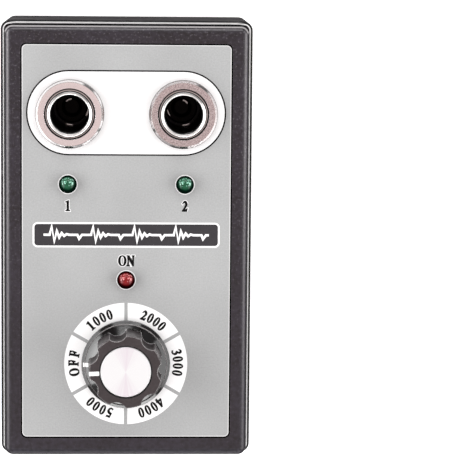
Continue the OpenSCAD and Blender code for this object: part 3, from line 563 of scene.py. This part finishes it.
def knob_plastic():
    """Moulded knob: satin grip and glossy skirt, with a painted shade ring around the cap and painted
    highlights along the upper edges.
    """
    material, tree = new_shader("knob_plastic")
    point = object_point(tree, KNOB_AXIS)
    parts = split(tree, point)
    reach = from_axis(tree, point)[1]
    broad = noise(tree, point, 120, detail=4.0)
    fine = noise(tree, point, 1700, detail=2.0, rough=0.6)
    tone = blend_value(tree, broad, broad, fine)
    soft = soft_normal(tree, radius_mm=0.24)
    colour = blend_colour(tree, spread(tree, tone, 0.0, 1.0), GRIP_DARK, GRIP_LIGHT)
    skirt = fade(tree, parts["Z"], 1.0, 0.0, *SKIRT_TOP_Z, KNOB_FOOT)
    colour = blend_colour(tree, skirt, colour, SKIRT_BLACK)
    # Painted highlight on the grip's edges: strong on the upper side, faint on the lower side
    wear_and_highlight = product(tree, spread(tree, edge_mask(tree, soft), 0.0, 1.0, start=0.2, end=0.6),
                   spread(tree, noise(tree, point, 420), 0.6, 1.0),
                   fade(tree, parts["Y"], 0.12, 1.0, *HIGHLIGHT_RUN_Y),
                   fade(tree, reach, 0.0, 1.0, *HIGHLIGHT_START_R, CAP_R))
    # Painted shade in a ring around the cap
    colour = blend_colour(tree, fade(tree, reach, 1.0, 0.0, *SEAT_EDGE, CAP_R), colour, CAP_GAP_SHADE)
    colour = blend_colour(tree, wear_and_highlight, colour, GRIP_HIGHLIGHT)
    return dress(material, {
        "Base Color": colour,
        "Roughness": blend_value(tree, skirt, spread(tree, tone, 0.3, 0.42), spread(tree, tone, 0.08, 0.15)),
        "Normal": relief(tree, fine, depth_mm=0.004, normal=soft),
        "Specular IOR Level": blend_value(tree, skirt, 0.5, skirt_polish(tree, point, reach)),
    })


CAP_TONES = ((0.71, 0.71, 0.714), (0.77, 0.77, 0.772))
CAP_SHEEN = (0.65, 0.58, 0.63)
CAP_WALL_SHADE = (0.02, 0.02, 0.02)


def spun_cap():
    """Spun aluminium face: concentric lathe rings, painted pale pink sheen sectors and painted shade on the
    side wall.
    """
    material, tree = new_shader("cap_aluminium")
    point = object_point(tree, KNOB_AXIS)
    rings = ring_waves(tree, from_axis(tree, point)[0], Scale=1100.0, Distortion=0.8, Detail=2.0)
    angle = angle_round(tree, point)
    sheen = calc(tree, "POWER", calc(tree, "ABSOLUTE", calc(tree, "SINE", angle)), 9.0)
    streak = noise(tree, add(tree, "ShaderNodeCombineXYZ", {0: angle}).outputs[0], 9.0, 2.0)
    colour = blend_colour(tree, spread(tree, rings, 0.0, 1.0), *CAP_TONES)
    # Painted sheen: paired pale pink sectors of reflection
    colour = blend_colour(tree, product(tree, sheen, spread(tree, streak, 0.3, 1.0)), colour, CAP_SHEEN)
    upward = split(tree, surface_normal(tree))["Z"]
    # Painted shade on the cap's side wall
    colour = blend_colour(tree, spread(tree, upward, 1.0, 0.0, start=0.2, end=0.6), colour, CAP_WALL_SHADE)
    return dress(material, {
        "Base Color": colour,
        "Roughness": spread(tree, rings, 0.4, 0.5),
        "Normal": relief(tree, rings, depth_mm=0.0015, normal=soft_normal(tree, radius_mm=0.08)),
        "Metallic": 0.3,
    })


# Lamp lenses: bands in mm from the lamp's axis, as start, end and softness

LENS_SIDES_X = (0.34, 1.6, 0.3)
LENS_SIDES_Y = (-0.1, 1.65, 0.5)
LENS_CROWN_X = (0.3, 0.7)
LENS_CROWN_Y = (1.7, 2.1, 0.15)
LENS_SHADE_RISE = 0.7
LENS_SHADE_R = (1.3, 2.2)
LENS_EDGE_R = (1.9, 2.3)
# Glint, body and painted edge shade colours
LENS_GREEN = ((0.42, 0.85, 0.66), (0.012, 0.11, 0.05), (0.001, 0.005, 0.003))
LENS_RED = ((0.95, 0.36, 0.36), (0.29, 0.01, 0.013), (0.006, 0.0004, 0.0006))


def tinted_lens(name, centre, bright, body, rim):
    """Unlit lamp lens: faceted glints, partly the cup beside the chip and partly painted highlights, deep
    colour around them, and painted shade on the lower part and the edge.
    """
    material, tree = new_shader(name)
    point = object_point(tree, centre)
    flat, radius = from_axis(tree, point)
    parts = split(tree, flat)
    across = calc(tree, "ABSOLUTE", parts["X"])
    facets = add(tree, "ShaderNodeTexVoronoi", {"Vector": point, "Scale": 1900.0}, feature="SMOOTH_F1")
    swirl = noise(tree, point, 900, detail=3.0)
    # Glints of the cup and painted highlights, on both sides of the upper half and at the crown
    sides = product(tree, stripe(tree, across, *LENS_SIDES_X), stripe(tree, parts["Y"], *LENS_SIDES_Y))
    crown = product(tree, stripe(tree, parts["Y"], *LENS_CROWN_Y),
                    fade(tree, across, 0.7, 0.0, *LENS_CROWN_X))
    glint = product(tree, spread(tree, facets.outputs["Distance"], 1.0, 0.0, start=0.22, end=0.5),
                    calc(tree, "MAXIMUM", sides, crown))
    colour = blend_colour(tree, spread(tree, swirl, 0.0, 1.0), tuple(0.3 * c for c in body), body)
    colour = blend_colour(tree, glint, colour, bright)
    # Painted shade: dark over the lower part and along the edge
    raised = object_point(tree, (centre.x, centre.y + LENS_SHADE_RISE * MM, centre.z))
    shade = fade(tree, from_axis(tree, raised)[1], 0.0, 1.0, *LENS_SHADE_R)
    dark = calc(tree, "MAXIMUM", shade, fade(tree, radius, 0.0, 1.0, *LENS_EDGE_R))
    return dress(material, {
        "Base Color": blend_colour(tree, dark, colour, rim),
        "Roughness": spread(tree, swirl, 0.1, 0.2),
        "Normal": relief(tree, swirl, depth_mm=0.004),
        "Specular IOR Level": spread(tree, dark, 0.3, 0.0, start=0.2, end=0.8),
    })


# Finishes of the inside and the plain parts

BOARD_TONES = ((0.012, 0.11, 0.04), (0.02, 0.16, 0.06))
BOARD_TRACK = (0.035, 0.24, 0.085)
BOARD_TRACKS = {"Scale": 190.0, "Mortar Size": 0.03, "Bias": 0.0, "Brick Width": 0.9, "Row Height": 0.32}


def board_mask():
    """Solder mask over copper: raised tracks and a fibre weave."""
    material, tree = new_shader("board_green")
    point = object_point(tree)
    tracks = add(tree, "ShaderNodeTexBrick", {"Vector": point, **BOARD_TRACKS}).outputs["Fac"]
    weave = noise(tree, point, 1600, detail=2.0)
    colour = blend_colour(tree, spread(tree, weave, 0.0, 1.0), *BOARD_TONES)
    return dress(material, {
        "Base Color": blend_colour(tree, tracks, colour, BOARD_TRACK),
        "Roughness": spread(tree, weave, 0.22, 0.36),
        "Normal": relief(tree, tracks, depth_mm=0.03),
    })


PLAIN_FINISHES = (
    ("screw_steel", (0.38, 0.38, 0.39), (0.52, 0.52, 0.53), (0.28, 0.42), (1800, 0.006), 300,
     {"metal": 1.0, "edge": (0.66, 0.66, 0.67)}, ("case_screws", "board_screws")),
    ("contact_brass", (0.5, 0.36, 0.14), (0.72, 0.55, 0.25), (0.25, 0.42), (1500, 0.006), 260,
     {"metal": 1.0, "edge": (0.8, 0.66, 0.36)},
     ("ground_tag_left", "ground_tag_right", "pot_lugs", "dc_inlet_pin")),
    # Painted shade: the terminals deep in the bores are a darkened copy of the contact brass
    ("tarnished_brass", (0.03, 0.022, 0.012), (0.07, 0.052, 0.028), (0.4, 0.55), (1500, 0.008), 260,
     {"metal": 1.0}, ("hv_terminal_left", "hv_terminal_right")),
    ("spring_steel", (0.42, 0.42, 0.43), (0.56, 0.56, 0.57), (0.25, 0.38), (2200, 0.004), 260,
     {"metal": 1.0}, ("contact_spring_left", "contact_spring_right")),
    ("lead_red", (0.3, 0.016, 0.012), (0.42, 0.028, 0.02), (0.42, 0.58), (1400, 0.01), 200,
     {}, ("hv_lead_left", "hv_lead_right", "pot_leads")),
    ("lead_black", (0.012, 0.012, 0.012), (0.026, 0.026, 0.026), (0.42, 0.58), (1400, 0.01), 200,
     {}, ("ground_leads",)),
    ("lead_tinned", (0.55, 0.55, 0.56), (0.68, 0.68, 0.69), (0.28, 0.42), (1500, 0.006), 300,
     {"metal": 1.0}, ("led_leads",)),
    ("pointer_white", (0.82, 0.82, 0.81), (0.92, 0.92, 0.91), (0.4, 0.55), (1800, 0.008), 200,
     {}, ("knob_pointer",)),
    ("control_steel", (0.48, 0.47, 0.44), (0.6, 0.59, 0.56), (0.28, 0.44), (1500, 0.006), 240,
     {"metal": 1.0, "edge": (0.72, 0.71, 0.68)},
     ("pot_shaft", "pot_bushing", "pot_nut", "pot_washer", "pot_can")),
    ("rotor_plastic", (0.58, 0.54, 0.44), (0.72, 0.69, 0.6), (0.4, 0.55), (1400, 0.01), 180,
     {}, ("pot_rotor",)),
    ("wafer_resin", (0.22, 0.095, 0.04), (0.34, 0.16, 0.07), (0.45, 0.6), (1500, 0.012), 260,
     {}, ("pot_wafer",)),
    ("chip_black", (0.013, 0.013, 0.014), (0.03, 0.03, 0.031), (0.45, 0.6), (1900, 0.012), 160,
     {"edge": (0.06, 0.06, 0.06)}, ("pot_switch", "driver_transistor", "timer_chip", "dc_inlet")),
    ("coil_resin", (0.01, 0.01, 0.012), (0.022, 0.022, 0.025), (0.2, 0.4), (700, 0.02), 90,
     {}, ("ignition_coil",)),
    ("sink_aluminium", (0.62, 0.63, 0.64), (0.76, 0.77, 0.78), (0.32, 0.46), (900, 0.008), 200,
     {"metal": 1.0, "edge": (0.84, 0.84, 0.85), "stretch": (6, 6, 1)}, ("heat_sink",)),
    ("capacitor_sleeve", (0.014, 0.014, 0.06), (0.024, 0.024, 0.1), (0.22, 0.34), (900, 0.01), 160,
     {}, ("filter_capacitors",)),
    ("resistor_paint", (0.5, 0.34, 0.17), (0.66, 0.47, 0.26), (0.42, 0.56), (1100, 0.01), 260,
     {}, ("resistors",)),
)


def paint_nodes():
    paint(rear_plastic(), "rear_shell")
    paint(bezel_plastic(), "front_shell")
    paint(label_film(), "panel_label")
    for side in SIDES:
        paint_socket(side)
        lamp = "signal_led_" + side
        paint(tinted_lens("lens_green_" + lamp, LAMPS[lamp], *LENS_GREEN), lamp)
    paint(tinted_lens("lens_red", LAMPS["power_led"], *LENS_RED), "power_led")
    paint(knob_plastic(), "knob_body")
    paint(spun_cap(), "knob_cap")
    paint(board_mask(), "main_board")
    for *look, settings, nodes in PLAIN_FINISHES:
        paint(finish(*look, **settings), *nodes)


# Flat outlines in panel millimetres, angles in degrees

CORNER_STEPS = 16
SECTOR_STEPS = 24
CIRCLE_STEPS = 96
MITRE_LIMIT = 0.35


def arc(x, y, radius, start, end, steps):
    angles = [math.radians(start + (end - start) * i / steps) for i in range(steps + 1)]
    return [(x + radius * math.cos(a), y + radius * math.sin(a)) for a in angles]


def circle(x, y, radius, steps=CIRCLE_STEPS):
    return arc(x, y, radius, 0, 360, steps)[:-1]


def rounded_box(x, y, w, l, radius):
    points = []
    for sx, sy, start in ((1, 1, 0), (-1, 1, 90), (-1, -1, 180), (1, -1, 270)):
        corner = (x + sx * (w / 2 - radius), y + sy * (l / 2 - radius))
        points += arc(*corner, radius, start, start + 90, CORNER_STEPS)
    return points


def sector(x, y, inner, outer, start, end, gap):
    """Ring sector whose straight sides stand half a gap off the rays."""
    trim_in = math.degrees(math.asin(gap / 2 / inner))
    trim_out = math.degrees(math.asin(gap / 2 / outer))
    return (arc(x, y, outer, start + trim_out, end - trim_out, SECTOR_STEPS)
            + arc(x, y, inner, end - trim_in, start + trim_in, SECTOR_STEPS))


def stroke(points, width):
    """Outline of a polyline of even width with mitred corners."""
    left, right = [], []
    for i, (x, y) in enumerate(points):
        before = Vector(points[i]) - Vector(points[i - 1]) if i else Vector(points[1]) - Vector(points[0])
        after = Vector(points[i + 1]) - Vector(points[i]) if i + 1 < len(points) else before
        n1 = Vector((-before.y, before.x)).normalized()
        n2 = Vector((-after.y, after.x)).normalized()
        mitre = (n1 + n2).normalized()
        reach = width / 2 / max(mitre.dot(n1), MITRE_LIMIT)
        left.append((x + mitre.x * reach, y + mitre.y * reach))
        right.append((x - mitre.x * reach, y - mitre.y * reach))
    return left + right[::-1]


# Bold serif figures, one unit tall and centred on x: a third value of 1 marks a smooth knot

OVAL_STEPS = 40
OVAL_POWERS = (0.9, 0.95)


def oval(half_w, half_l):
    """Upright oval, a little square-shouldered."""
    points = []
    for i in range(OVAL_STEPS):
        a = 2 * math.pi * i / OVAL_STEPS
        round_point = (math.cos(a), math.sin(a))
        u, v = (math.copysign(abs(part) ** power, part) for part, power in zip(round_point, OVAL_POWERS))
        points.append((half_w * u, 0.5 + half_l * v))
    return points


GLYPHS = {
    "0": [oval(0.25, 0.5), oval(0.1, 0.45)],
    "O": [oval(0.38, 0.5), oval(0.2, 0.45)],
    "1": [[(-0.2, 0), (0.2, 0), (0.2, 0.05), (0.085, 0.09), (0.085, 1), (0.04, 1), (-0.21, 0.89),
           (-0.2, 0.84), (-0.085, 0.86), (-0.085, 0.09), (-0.2, 0.05)]],
    "2": [[(-0.25, 0, 0), (0.19, 0, 0), (0.25, 0.27, 0), (0.215, 0.27, 0), (0.14, 0.17, 0), (-0.06, 0.17, 0),
           (0.13, 0.44, 1), (0.23, 0.74, 1), (0.01, 1, 1), (-0.23, 0.73, 0), (-0.2, 0.7, 0), (-0.07, 0.83, 1),
           (0.06, 0.7, 1), (-0.02, 0.42, 1), (-0.25, 0.05, 0)]],
    "3": [[(-0.23, 0.78, 0), (-0.01, 1, 1), (0.2, 0.79, 1), (0.09, 0.575, 0), (0.24, 0.32, 1), (-0.05, 0, 1),
           (-0.25, 0.05, 0), (-0.23, 0.15, 0), (-0.07, 0.08, 1), (0.07, 0.28, 1), (-0.1, 0.48, 0),
           (-0.1, 0.53, 0), (0.04, 0.74, 1), (-0.05, 0.86, 1), (-0.2, 0.76, 0)]],
    "4": [[(0.05, 0), (0.2, 0), (0.2, 0.22), (0.28, 0.22), (0.28, 0.36), (0.2, 0.36), (0.2, 1), (0.1, 1),
           (-0.28, 0.34), (-0.28, 0.22), (0.05, 0.22)],
          [(0.05, 0.36), (-0.17, 0.36), (0.05, 0.74)]],
    "5": [[(-0.16, 1, 0), (0.23, 1, 0), (0.18, 0.84, 0), (-0.1, 0.84, 0), (-0.13, 0.69, 0), (0.1, 0.6, 1),
           (0.23, 0.33, 1), (-0.02, 0, 1), (-0.25, 0.05, 0), (-0.23, 0.15, 0), (-0.06, 0.09, 1),
           (0.08, 0.28, 1), (-0.03, 0.45, 1), (-0.23, 0.52, 0)]],
    "F": [[(-0.28, 0), (0.06, 0), (0.06, 0.05), (-0.03, 0.08), (-0.03, 0.45), (0.08, 0.45), (0.14, 0.33),
           (0.19, 0.33), (0.19, 0.67), (0.14, 0.67), (0.08, 0.55), (-0.03, 0.55), (-0.03, 0.94), (0.1, 0.94),
           (0.21, 0.74), (0.27, 0.74), (0.25, 1), (-0.28, 1), (-0.28, 0.95), (-0.19, 0.92), (-0.19, 0.08),
           (-0.28, 0.05)]],
    "N": [[(-0.38, 0), (-0.14, 0), (-0.14, 0.05), (-0.22, 0.08), (-0.22, 0.74), (0.2, 0), (0.28, 0),
           (0.28, 0.92), (0.36, 0.95), (0.36, 1), (0.12, 1), (0.12, 0.95), (0.2, 0.92), (0.2, 0.36),
           (-0.14, 1), (-0.38, 1), (-0.38, 0.95), (-0.29, 0.92), (-0.29, 0.08), (-0.38, 0.05)]],
}


# Printed marks: places and sizes in panel millimetres

LAYER_MM = 0.012
SINK_MM = 0.004
WELD_MM = 1e-4
CURVE_STEPS = 6


def add_spline(curve, contour):
    """Closed outline: straight between points, or through knots that each are smooth or sharp."""
    smooth = any(len(point) > 2 for point in contour)
    spline = curve.splines.new("BEZIER" if smooth else "POLY")
    knots = spline.bezier_points if smooth else spline.points
    knots.add(len(contour) - 1)
    for knot, point in zip(knots, contour):
        place = (point[0], point[1], 0)
        if smooth:
            knot.co = place
            kind = "AUTO" if point[2] else "VECTOR"
            knot.handle_left_type = kind
            knot.handle_right_type = kind
        else:
            knot.co = (*place, 1)
    spline.use_cyclic_u = True


def filled(contours, swell=0.0):
    """Thin closed slab in millimetres, centred on z; inner contours are holes and swell grows the outline."""
    curve = bpy.data.curves.new("outline", "CURVE")
    curve.dimensions = "2D"
    curve.fill_mode = "BOTH"
    curve.resolution_u = CURVE_STEPS
    curve.extrude = (LAYER_MM + SINK_MM) / 2
    curve.offset = swell
    for contour in contours:
        add_spline(curve, contour)
    source = bpy.data.objects.new("outline", curve)
    bpy.context.scene.collection.objects.link(source)
    bpy.context.view_layer.update()
    mesh = bpy.data.meshes.new_from_object(source.evaluated_get(bpy.context.evaluated_depsgraph_get()))
    bpy.data.objects.remove(source)
    bpy.data.curves.remove(curve)
    shape = bmesh.new()
    shape.from_mesh(mesh)
    bpy.data.meshes.remove(mesh)
    bmesh.ops.remove_doubles(shape, verts=shape.verts, dist=WELD_MM)
    bmesh.ops.recalc_face_normals(shape, faces=shape.faces)
    return shape


def print_piece(name, shape, layer, material):
    """Puts a slab on the label, on the given layer of ink."""
    bmesh.ops.scale(shape, vec=(MM, MM, MM), verts=shape.verts)
    mesh = bpy.data.meshes.new(name)
    shape.to_mesh(mesh)
    shape.free()
    mesh.materials.append(material)
    piece = bpy.data.objects.new(name, mesh)
    piece.location.z = PANEL_Z + ((layer - 0.5) * LAYER_MM - SINK_MM / 2) * MM
    bpy.context.scene.collection.objects.link(piece)
    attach(piece, "case")


def print_mark(name, contours, layer, material):
    print_piece(name, filled(contours), layer, material)


def print_words(name, figures, height, layer, material, swell):
    """One print of figures, each a letter with its middle and the turn of its top from +Y."""
    whole = bmesh.new()
    letters = {}
    for letter, x, y, turn in figures:
        if letter not in letters:
            upright = [[(u * height, (v - 0.5) * height, *smooth) for u, v, *smooth in contour]
                       for contour in GLYPHS[letter]]
            shape = filled(upright, swell)
            letters[letter] = bpy.data.meshes.new(letter)
            shape.to_mesh(letters[letter])
            shape.free()
        start = len(whole.verts)
        whole.from_mesh(letters[letter])
        whole.verts.ensure_lookup_table()
        place = Matrix.Translation((x, y, 0)) @ Matrix.Rotation(math.radians(turn), 4, "Z")
        bmesh.ops.transform(whole, matrix=place, verts=whole.verts[start:])
    for mesh in letters.values():
        bpy.data.meshes.remove(mesh)
    print_piece(name, whole, layer, material)


DIAL_R = 17.37
DIAL_INNER = 11.9
DIAL_GAP = 0.95
DIAL_FIELDS = 6
DIAL_START = 30
FIGURE_R = 14.75
FIGURE_H = 2.75
BOLD = 0.11
# Middle angle and step between letters, in degrees
DIAL_WORDS = {
    "1000": (120.4, -8.0),
    "2000": (58.2, -7.7),
    "3000": (1.3, -7.8),
    "4000": (-60.6, -7.9),
    "5000": (-120.2, -8.1),
    "OFF": (179.4, -10.2),
}


def dial_prints(white, black):
    x, y = KNOB_AXIS.x / MM, KNOB_AXIS.y / MM
    width = 360 // DIAL_FIELDS
    starts = [DIAL_START + width * i for i in range(DIAL_FIELDS)]
    fields = [sector(x, y, DIAL_INNER, DIAL_R, start, start + width, DIAL_GAP) for start in starts]
    print_mark("dial_fields", fields, 1, white)
    figures = []
    for word, (centre, step) in DIAL_WORDS.items():
        for i, letter in enumerate(word):
            at = centre + step * (i - (len(word) - 1) / 2)
            a = math.radians(at)
            figures.append((letter, x + FIGURE_R * math.cos(a), y + FIGURE_R * math.sin(a), at - 90))
    print_words("dial_numbers", figures, FIGURE_H, 2, black, BOLD)


# Middle, width and length
SOCKET_FIELD = (-0.12, 36.45, 55.85, 23.9)
FIELD_LINE = 0.42
FIELD_FLAT = 0.01
NUT_COVER = 0.3


def socket_prints(white, black):
    x, y, w, l = SOCKET_FIELD
    holes = [circle(at.x / MM, at.y / MM, NUT_R - NUT_COVER) for at in SOCKETS.values()]
    outer = rounded_box(x, y, w, l, l / 2 - FIELD_FLAT)
    inner = rounded_box(x, y, w - 2 * FIELD_LINE, l - 2 * FIELD_LINE, l / 2 - FIELD_LINE - FIELD_FLAT)
    print_mark("socket_field_line", [outer, inner], 1, black)
    print_mark("socket_field", [inner] + holes, 1, white)


# Middle, width, length and corner radius
BANNER = (0.0, 2.14, 52.5, 7.1, 1.4)
BANNER_LINE = 0.5
TRACE_HALF = 23.2
TRACE_BEATS = 4
TRACE_WIDTH = 0.66
# Share of a beat and rise: kick, five swings of damped ringing, and a step back to the base
BEAT = ((0.15, 0.0), (0.2, 2.4), (0.26, -1.9),
        *((0.32 + 0.06 * k, 1.1 * (-0.66) ** k) for k in range(5)),
        (0.62, 0.0), (0.82, 0.0), (0.86, -1.1), (0.93, 0.0))


def pulse_trace(y):
    """Firing trace along the banner."""
    points = [(-TRACE_HALF, y)]
    beat = 2 * TRACE_HALF / TRACE_BEATS
    for i in range(TRACE_BEATS):
        x = -TRACE_HALF + beat * i
        points += [(x + share * beat, y + rise) for share, rise in BEAT]
    return points + [(TRACE_HALF, y)]


def banner_prints(white, grey):
    x, y, w, l, r = BANNER
    inner = rounded_box(x, y, w - 2 * BANNER_LINE, l - 2 * BANNER_LINE, r - BANNER_LINE)
    print_mark("banner_line", [rounded_box(x, y, w, l, r), inner], 1, white)
    print_mark("banner_field", [inner], 1, grey)
    print_mark("banner_trace", [stroke(pulse_trace(y), TRACE_WIDTH)], 2, white)


WORD_H = 2.9
WORD_PITCH = 2.35
HALO = 0.28
LAMP_WORDS = {
    "lamp_mark_left": ("1", LAMPS["signal_led_left"].x / MM, 10.35),
    "lamp_mark_right": ("2", LAMPS["signal_led_right"].x / MM, 10.35),
    "power_mark": ("ON", 0.1, -5.15),
}
# Outer and inner edge of a lamp's ring, from the lens
LAMP_RING = (0.3, 0.02)
LAMP_RING_STEPS = 64


def lamp_prints(white, black):
    for name, (word, x, y) in LAMP_WORDS.items():
        first = x - WORD_PITCH * (len(word) - 1) / 2
        figures = [(letter, first + WORD_PITCH * i, y, 0.0) for i, letter in enumerate(word)]
        print_words(name + "_halo", figures, WORD_H, 1, white, HALO)
        print_words(name, figures, WORD_H, 2, black, BOLD)
    rings = [circle(at.x / MM, at.y / MM, LAMP_R + gap, LAMP_RING_STEPS)
             for at in LAMPS.values() for gap in LAMP_RING]
    print_mark("lamp_rings", rings, 1, white)


FILM_EDGE = 0.23


def label_edge(pale):
    """Pale stripe just inside the film's border."""
    outer = rounded_box(0, 0, LABEL_W, LABEL_L, LABEL_CORNER_R)
    inner = rounded_box(0, 0, LABEL_W - 2 * FILM_EDGE, LABEL_L - 2 * FILM_EDGE, LABEL_CORNER_R - FILM_EDGE)
    print_mark("label_edge", [outer, inner], 1, pale)


def ink(name, low, high, specular=0.3):
    """Screen-printed ink with uneven cover."""
    return finish(name, low, high, (0.4, 0.55), (3000, 0.003), 120, edge_mm=0.01, specular=specular)


def panel_prints():
    white = ink("ink_white", (0.88, 0.88, 0.88), (0.94, 0.94, 0.94))
    black = ink("ink_black", (0.002, 0.002, 0.002), (0.005, 0.005, 0.005), 0.1)
    grey = ink("ink_grey", (0.03, 0.028, 0.031), (0.046, 0.043, 0.047), 0.2)
    pale = ink("film_edge", (0.58, 0.58, 0.58), (0.7, 0.7, 0.7))
    label_edge(pale)
    socket_prints(white, black)
    lamp_prints(white, black)
    banner_prints(white, grey)
    dial_prints(white, black)


# Contact springs

SPRING_TURNS = 5.5
SPRING_WIRE = 0.8 * MM
SPRING_RINGS = 28
SPRING_SIDES = 12
SPRING_EASE = 0.07


def coil_mesh(name, low, high):
    """Wound wire in a box, with its turns closer at both ends."""
    centre = (low + high) / 2
    radius = (high.x - low.x - SPRING_WIRE) / 2
    start, end = low.z + SPRING_WIRE / 2, high.z - SPRING_WIRE / 2
    steps = int(SPRING_TURNS * SPRING_RINGS)
    shape = bmesh.new()
    rings = []
    for i in range(steps + 1):
        t = i / steps
        a = 2 * math.pi * SPRING_TURNS * t
        out = Vector((math.cos(a), math.sin(a), 0))
        at = centre + radius * out
        at.z = start + (end - start) * (t - SPRING_EASE * math.sin(2 * math.pi * t))
        ring = []
        for k in range(SPRING_SIDES):
            b = 2 * math.pi * k / SPRING_SIDES
            side = math.cos(b) * out + Vector((0, 0, math.sin(b)))
            ring.append(shape.verts.new(at + SPRING_WIRE / 2 * side))
        rings.append(ring)
    for first, second in zip(rings, rings[1:]):
        for k in range(SPRING_SIDES):
            n = (k + 1) % SPRING_SIDES
            shape.faces.new((first[k], first[n], second[n], second[k]))
    shape.faces.new(rings[0][::-1])
    shape.faces.new(rings[-1])
    bmesh.ops.recalc_face_normals(shape, faces=shape.faces)
    mesh = bpy.data.meshes.new(name)
    shape.to_mesh(mesh)
    shape.free()
    for face in mesh.polygons:
        face.use_smooth = len(face.vertices) == 4
    return mesh


def contact_spring(side):
    """Coil that stands for a spring node, wound in the node's box and fixed to the case."""
    node = "contact_spring_" + side
    low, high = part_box(node)
    mesh = coil_mesh("sprung_coil_" + side, low, high)
    mesh.materials.append(NODES[node].data.materials[0])
    piece = bpy.data.objects.new("sprung_coil_" + side, mesh)
    bpy.context.scene.collection.objects.link(piece)
    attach(piece, "case")
    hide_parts(node)
    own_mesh(piece)


# Studio, in metres

FLOOR_HALF = 4.0
FLOOR_DROP = 0.05 * MM


def floor():
    half = FLOOR_HALF
    mesh = bpy.data.meshes.new("floor")
    corners = [(-half, -half, 0), (half, -half, 0), (half, half, 0), (-half, half, 0)]
    mesh.from_pydata(corners, [], [(0, 1, 2, 3)])
    piece = bpy.data.objects.new("floor", mesh)
    piece.location.z = -FLOOR_DROP
    bpy.context.scene.collection.objects.link(piece)
    material, tree = new_shader("floor_white")
    tone = noise(tree, object_point(tree), 3.0, 2.0)
    dress(material, {
        "Base Color": blend_colour(tree, tone, (0.9, 0.9, 0.9), (0.94, 0.94, 0.94)),
        "Roughness": 0.9,
        "Specular IOR Level": 0.1,
        "Emission Color": (1, 1, 1),
        "Emission Strength": 0.45,
    })
    mesh.materials.append(material)


# Height of a direction and tone: pale floor line, grey walls, pale ceiling with a warm middle
SKY = (
    (0.0, (1.0, 1.0, 1.0)),
    (0.16, (0.8, 0.8, 0.8)),
    (0.28, (0.36, 0.36, 0.365)),
    (0.55, (0.36, 0.36, 0.365)),
    (0.7, (0.8, 0.8, 0.8)),
    (0.86, (0.8, 0.795, 0.8)),
    (0.95, (0.78, 0.65, 0.635)),
)


def studio_world():
    world = bpy.data.worlds.new("studio")
    bpy.context.scene.world = world
    world.use_nodes = True
    tree = world.node_tree
    tree.nodes.clear()
    direction = add(tree, "ShaderNodeTexCoord").outputs["Generated"]
    ramp = add(tree, "ShaderNodeValToRGB", {"Fac": split(tree, direction)["Z"]})
    tones = ramp.color_ramp.elements
    tones.remove(tones[1])
    tones[0].position, tones[0].color = SKY[0][0], (*SKY[0][1], 1)
    for position, colour in SKY[1:]:
        tones.new(position).color = (*colour, 1)
    sky = add(tree, "ShaderNodeBackground", {"Color": ramp.outputs["Color"], "Strength": 1.0})
    add(tree, "ShaderNodeOutputWorld", {"Surface": sky.outputs["Background"]})


LIGHT_AIM = (0, 0, 0.045)
# Place, size and power
SOFTBOXES = {
    "top_end": ((0.02, 0.72, 0.42), (0.6, 0.2), 2.0),
    "strip_left": ((-0.75, 0.0, 0.42), (1.34, 0.34), 7.6),
    "strip_right": ((0.75, -0.12, 0.42), (1.1, 0.34), 6.0),
    "low_front": ((0.1, -0.8, 0.2), (0.9, 0.15), 4.6),
}


def softboxes():
    for name, (place, size, power) in SOFTBOXES.items():
        light = bpy.data.lights.new(name, "AREA")
        light.shape = "RECTANGLE"
        light.size, light.size_y = size
        light.energy = power
        piece = bpy.data.objects.new(name, light)
        piece.location = place
        piece.rotation_euler = (Vector(LIGHT_AIM) - Vector(place)).to_track_quat("-Z", "Y").to_euler()
        bpy.context.scene.collection.objects.link(piece)


# Camera: 470-pixel square frame, in millimetres from the middle of the label's face

FRAME_PX = 470
FOCAL_PX = 2490
SENSOR_W = 36.0
CLIP_START = 10 * MM
CAMERA_D = 700
CAMERA_TILT = math.radians(7)
CAMERA_ROLL = math.radians(0.51)
TARGET = (30.57, 2.25)


def camera():
    target = Vector((TARGET[0] * MM, TARGET[1] * MM, PANEL_Z))
    place = Vector((0, TARGET[1] + CAMERA_D * math.sin(CAMERA_TILT), CAMERA_D * math.cos(CAMERA_TILT))) * MM
    place.z += PANEL_Z
    ahead = (target - place).normalized()
    right = ahead.cross(Vector((0, 1, 0))).normalized()
    up = right.cross(ahead)
    c, s = math.cos(CAMERA_ROLL), math.sin(CAMERA_ROLL)
    right, up = right * c + up * s, up * c - right * s
    data = bpy.data.cameras.new("camera")
    data.sensor_width = SENSOR_W
    data.lens = FOCAL_PX / FRAME_PX * SENSOR_W
    data.clip_start = CLIP_START
    piece = bpy.data.objects.new("camera", data)
    turn = Matrix((right, up, -ahead)).transposed()
    piece.matrix_world = Matrix.Translation(place) @ turn.to_4x4()
    bpy.context.scene.collection.objects.link(piece)
    bpy.context.scene.camera = piece


camera()
studio_world()
softboxes()
floor()
paint_nodes()
for side in SIDES:
    contact_spring(side)
panel_prints()
bpy.context.scene.view_settings.view_transform = "Standard"
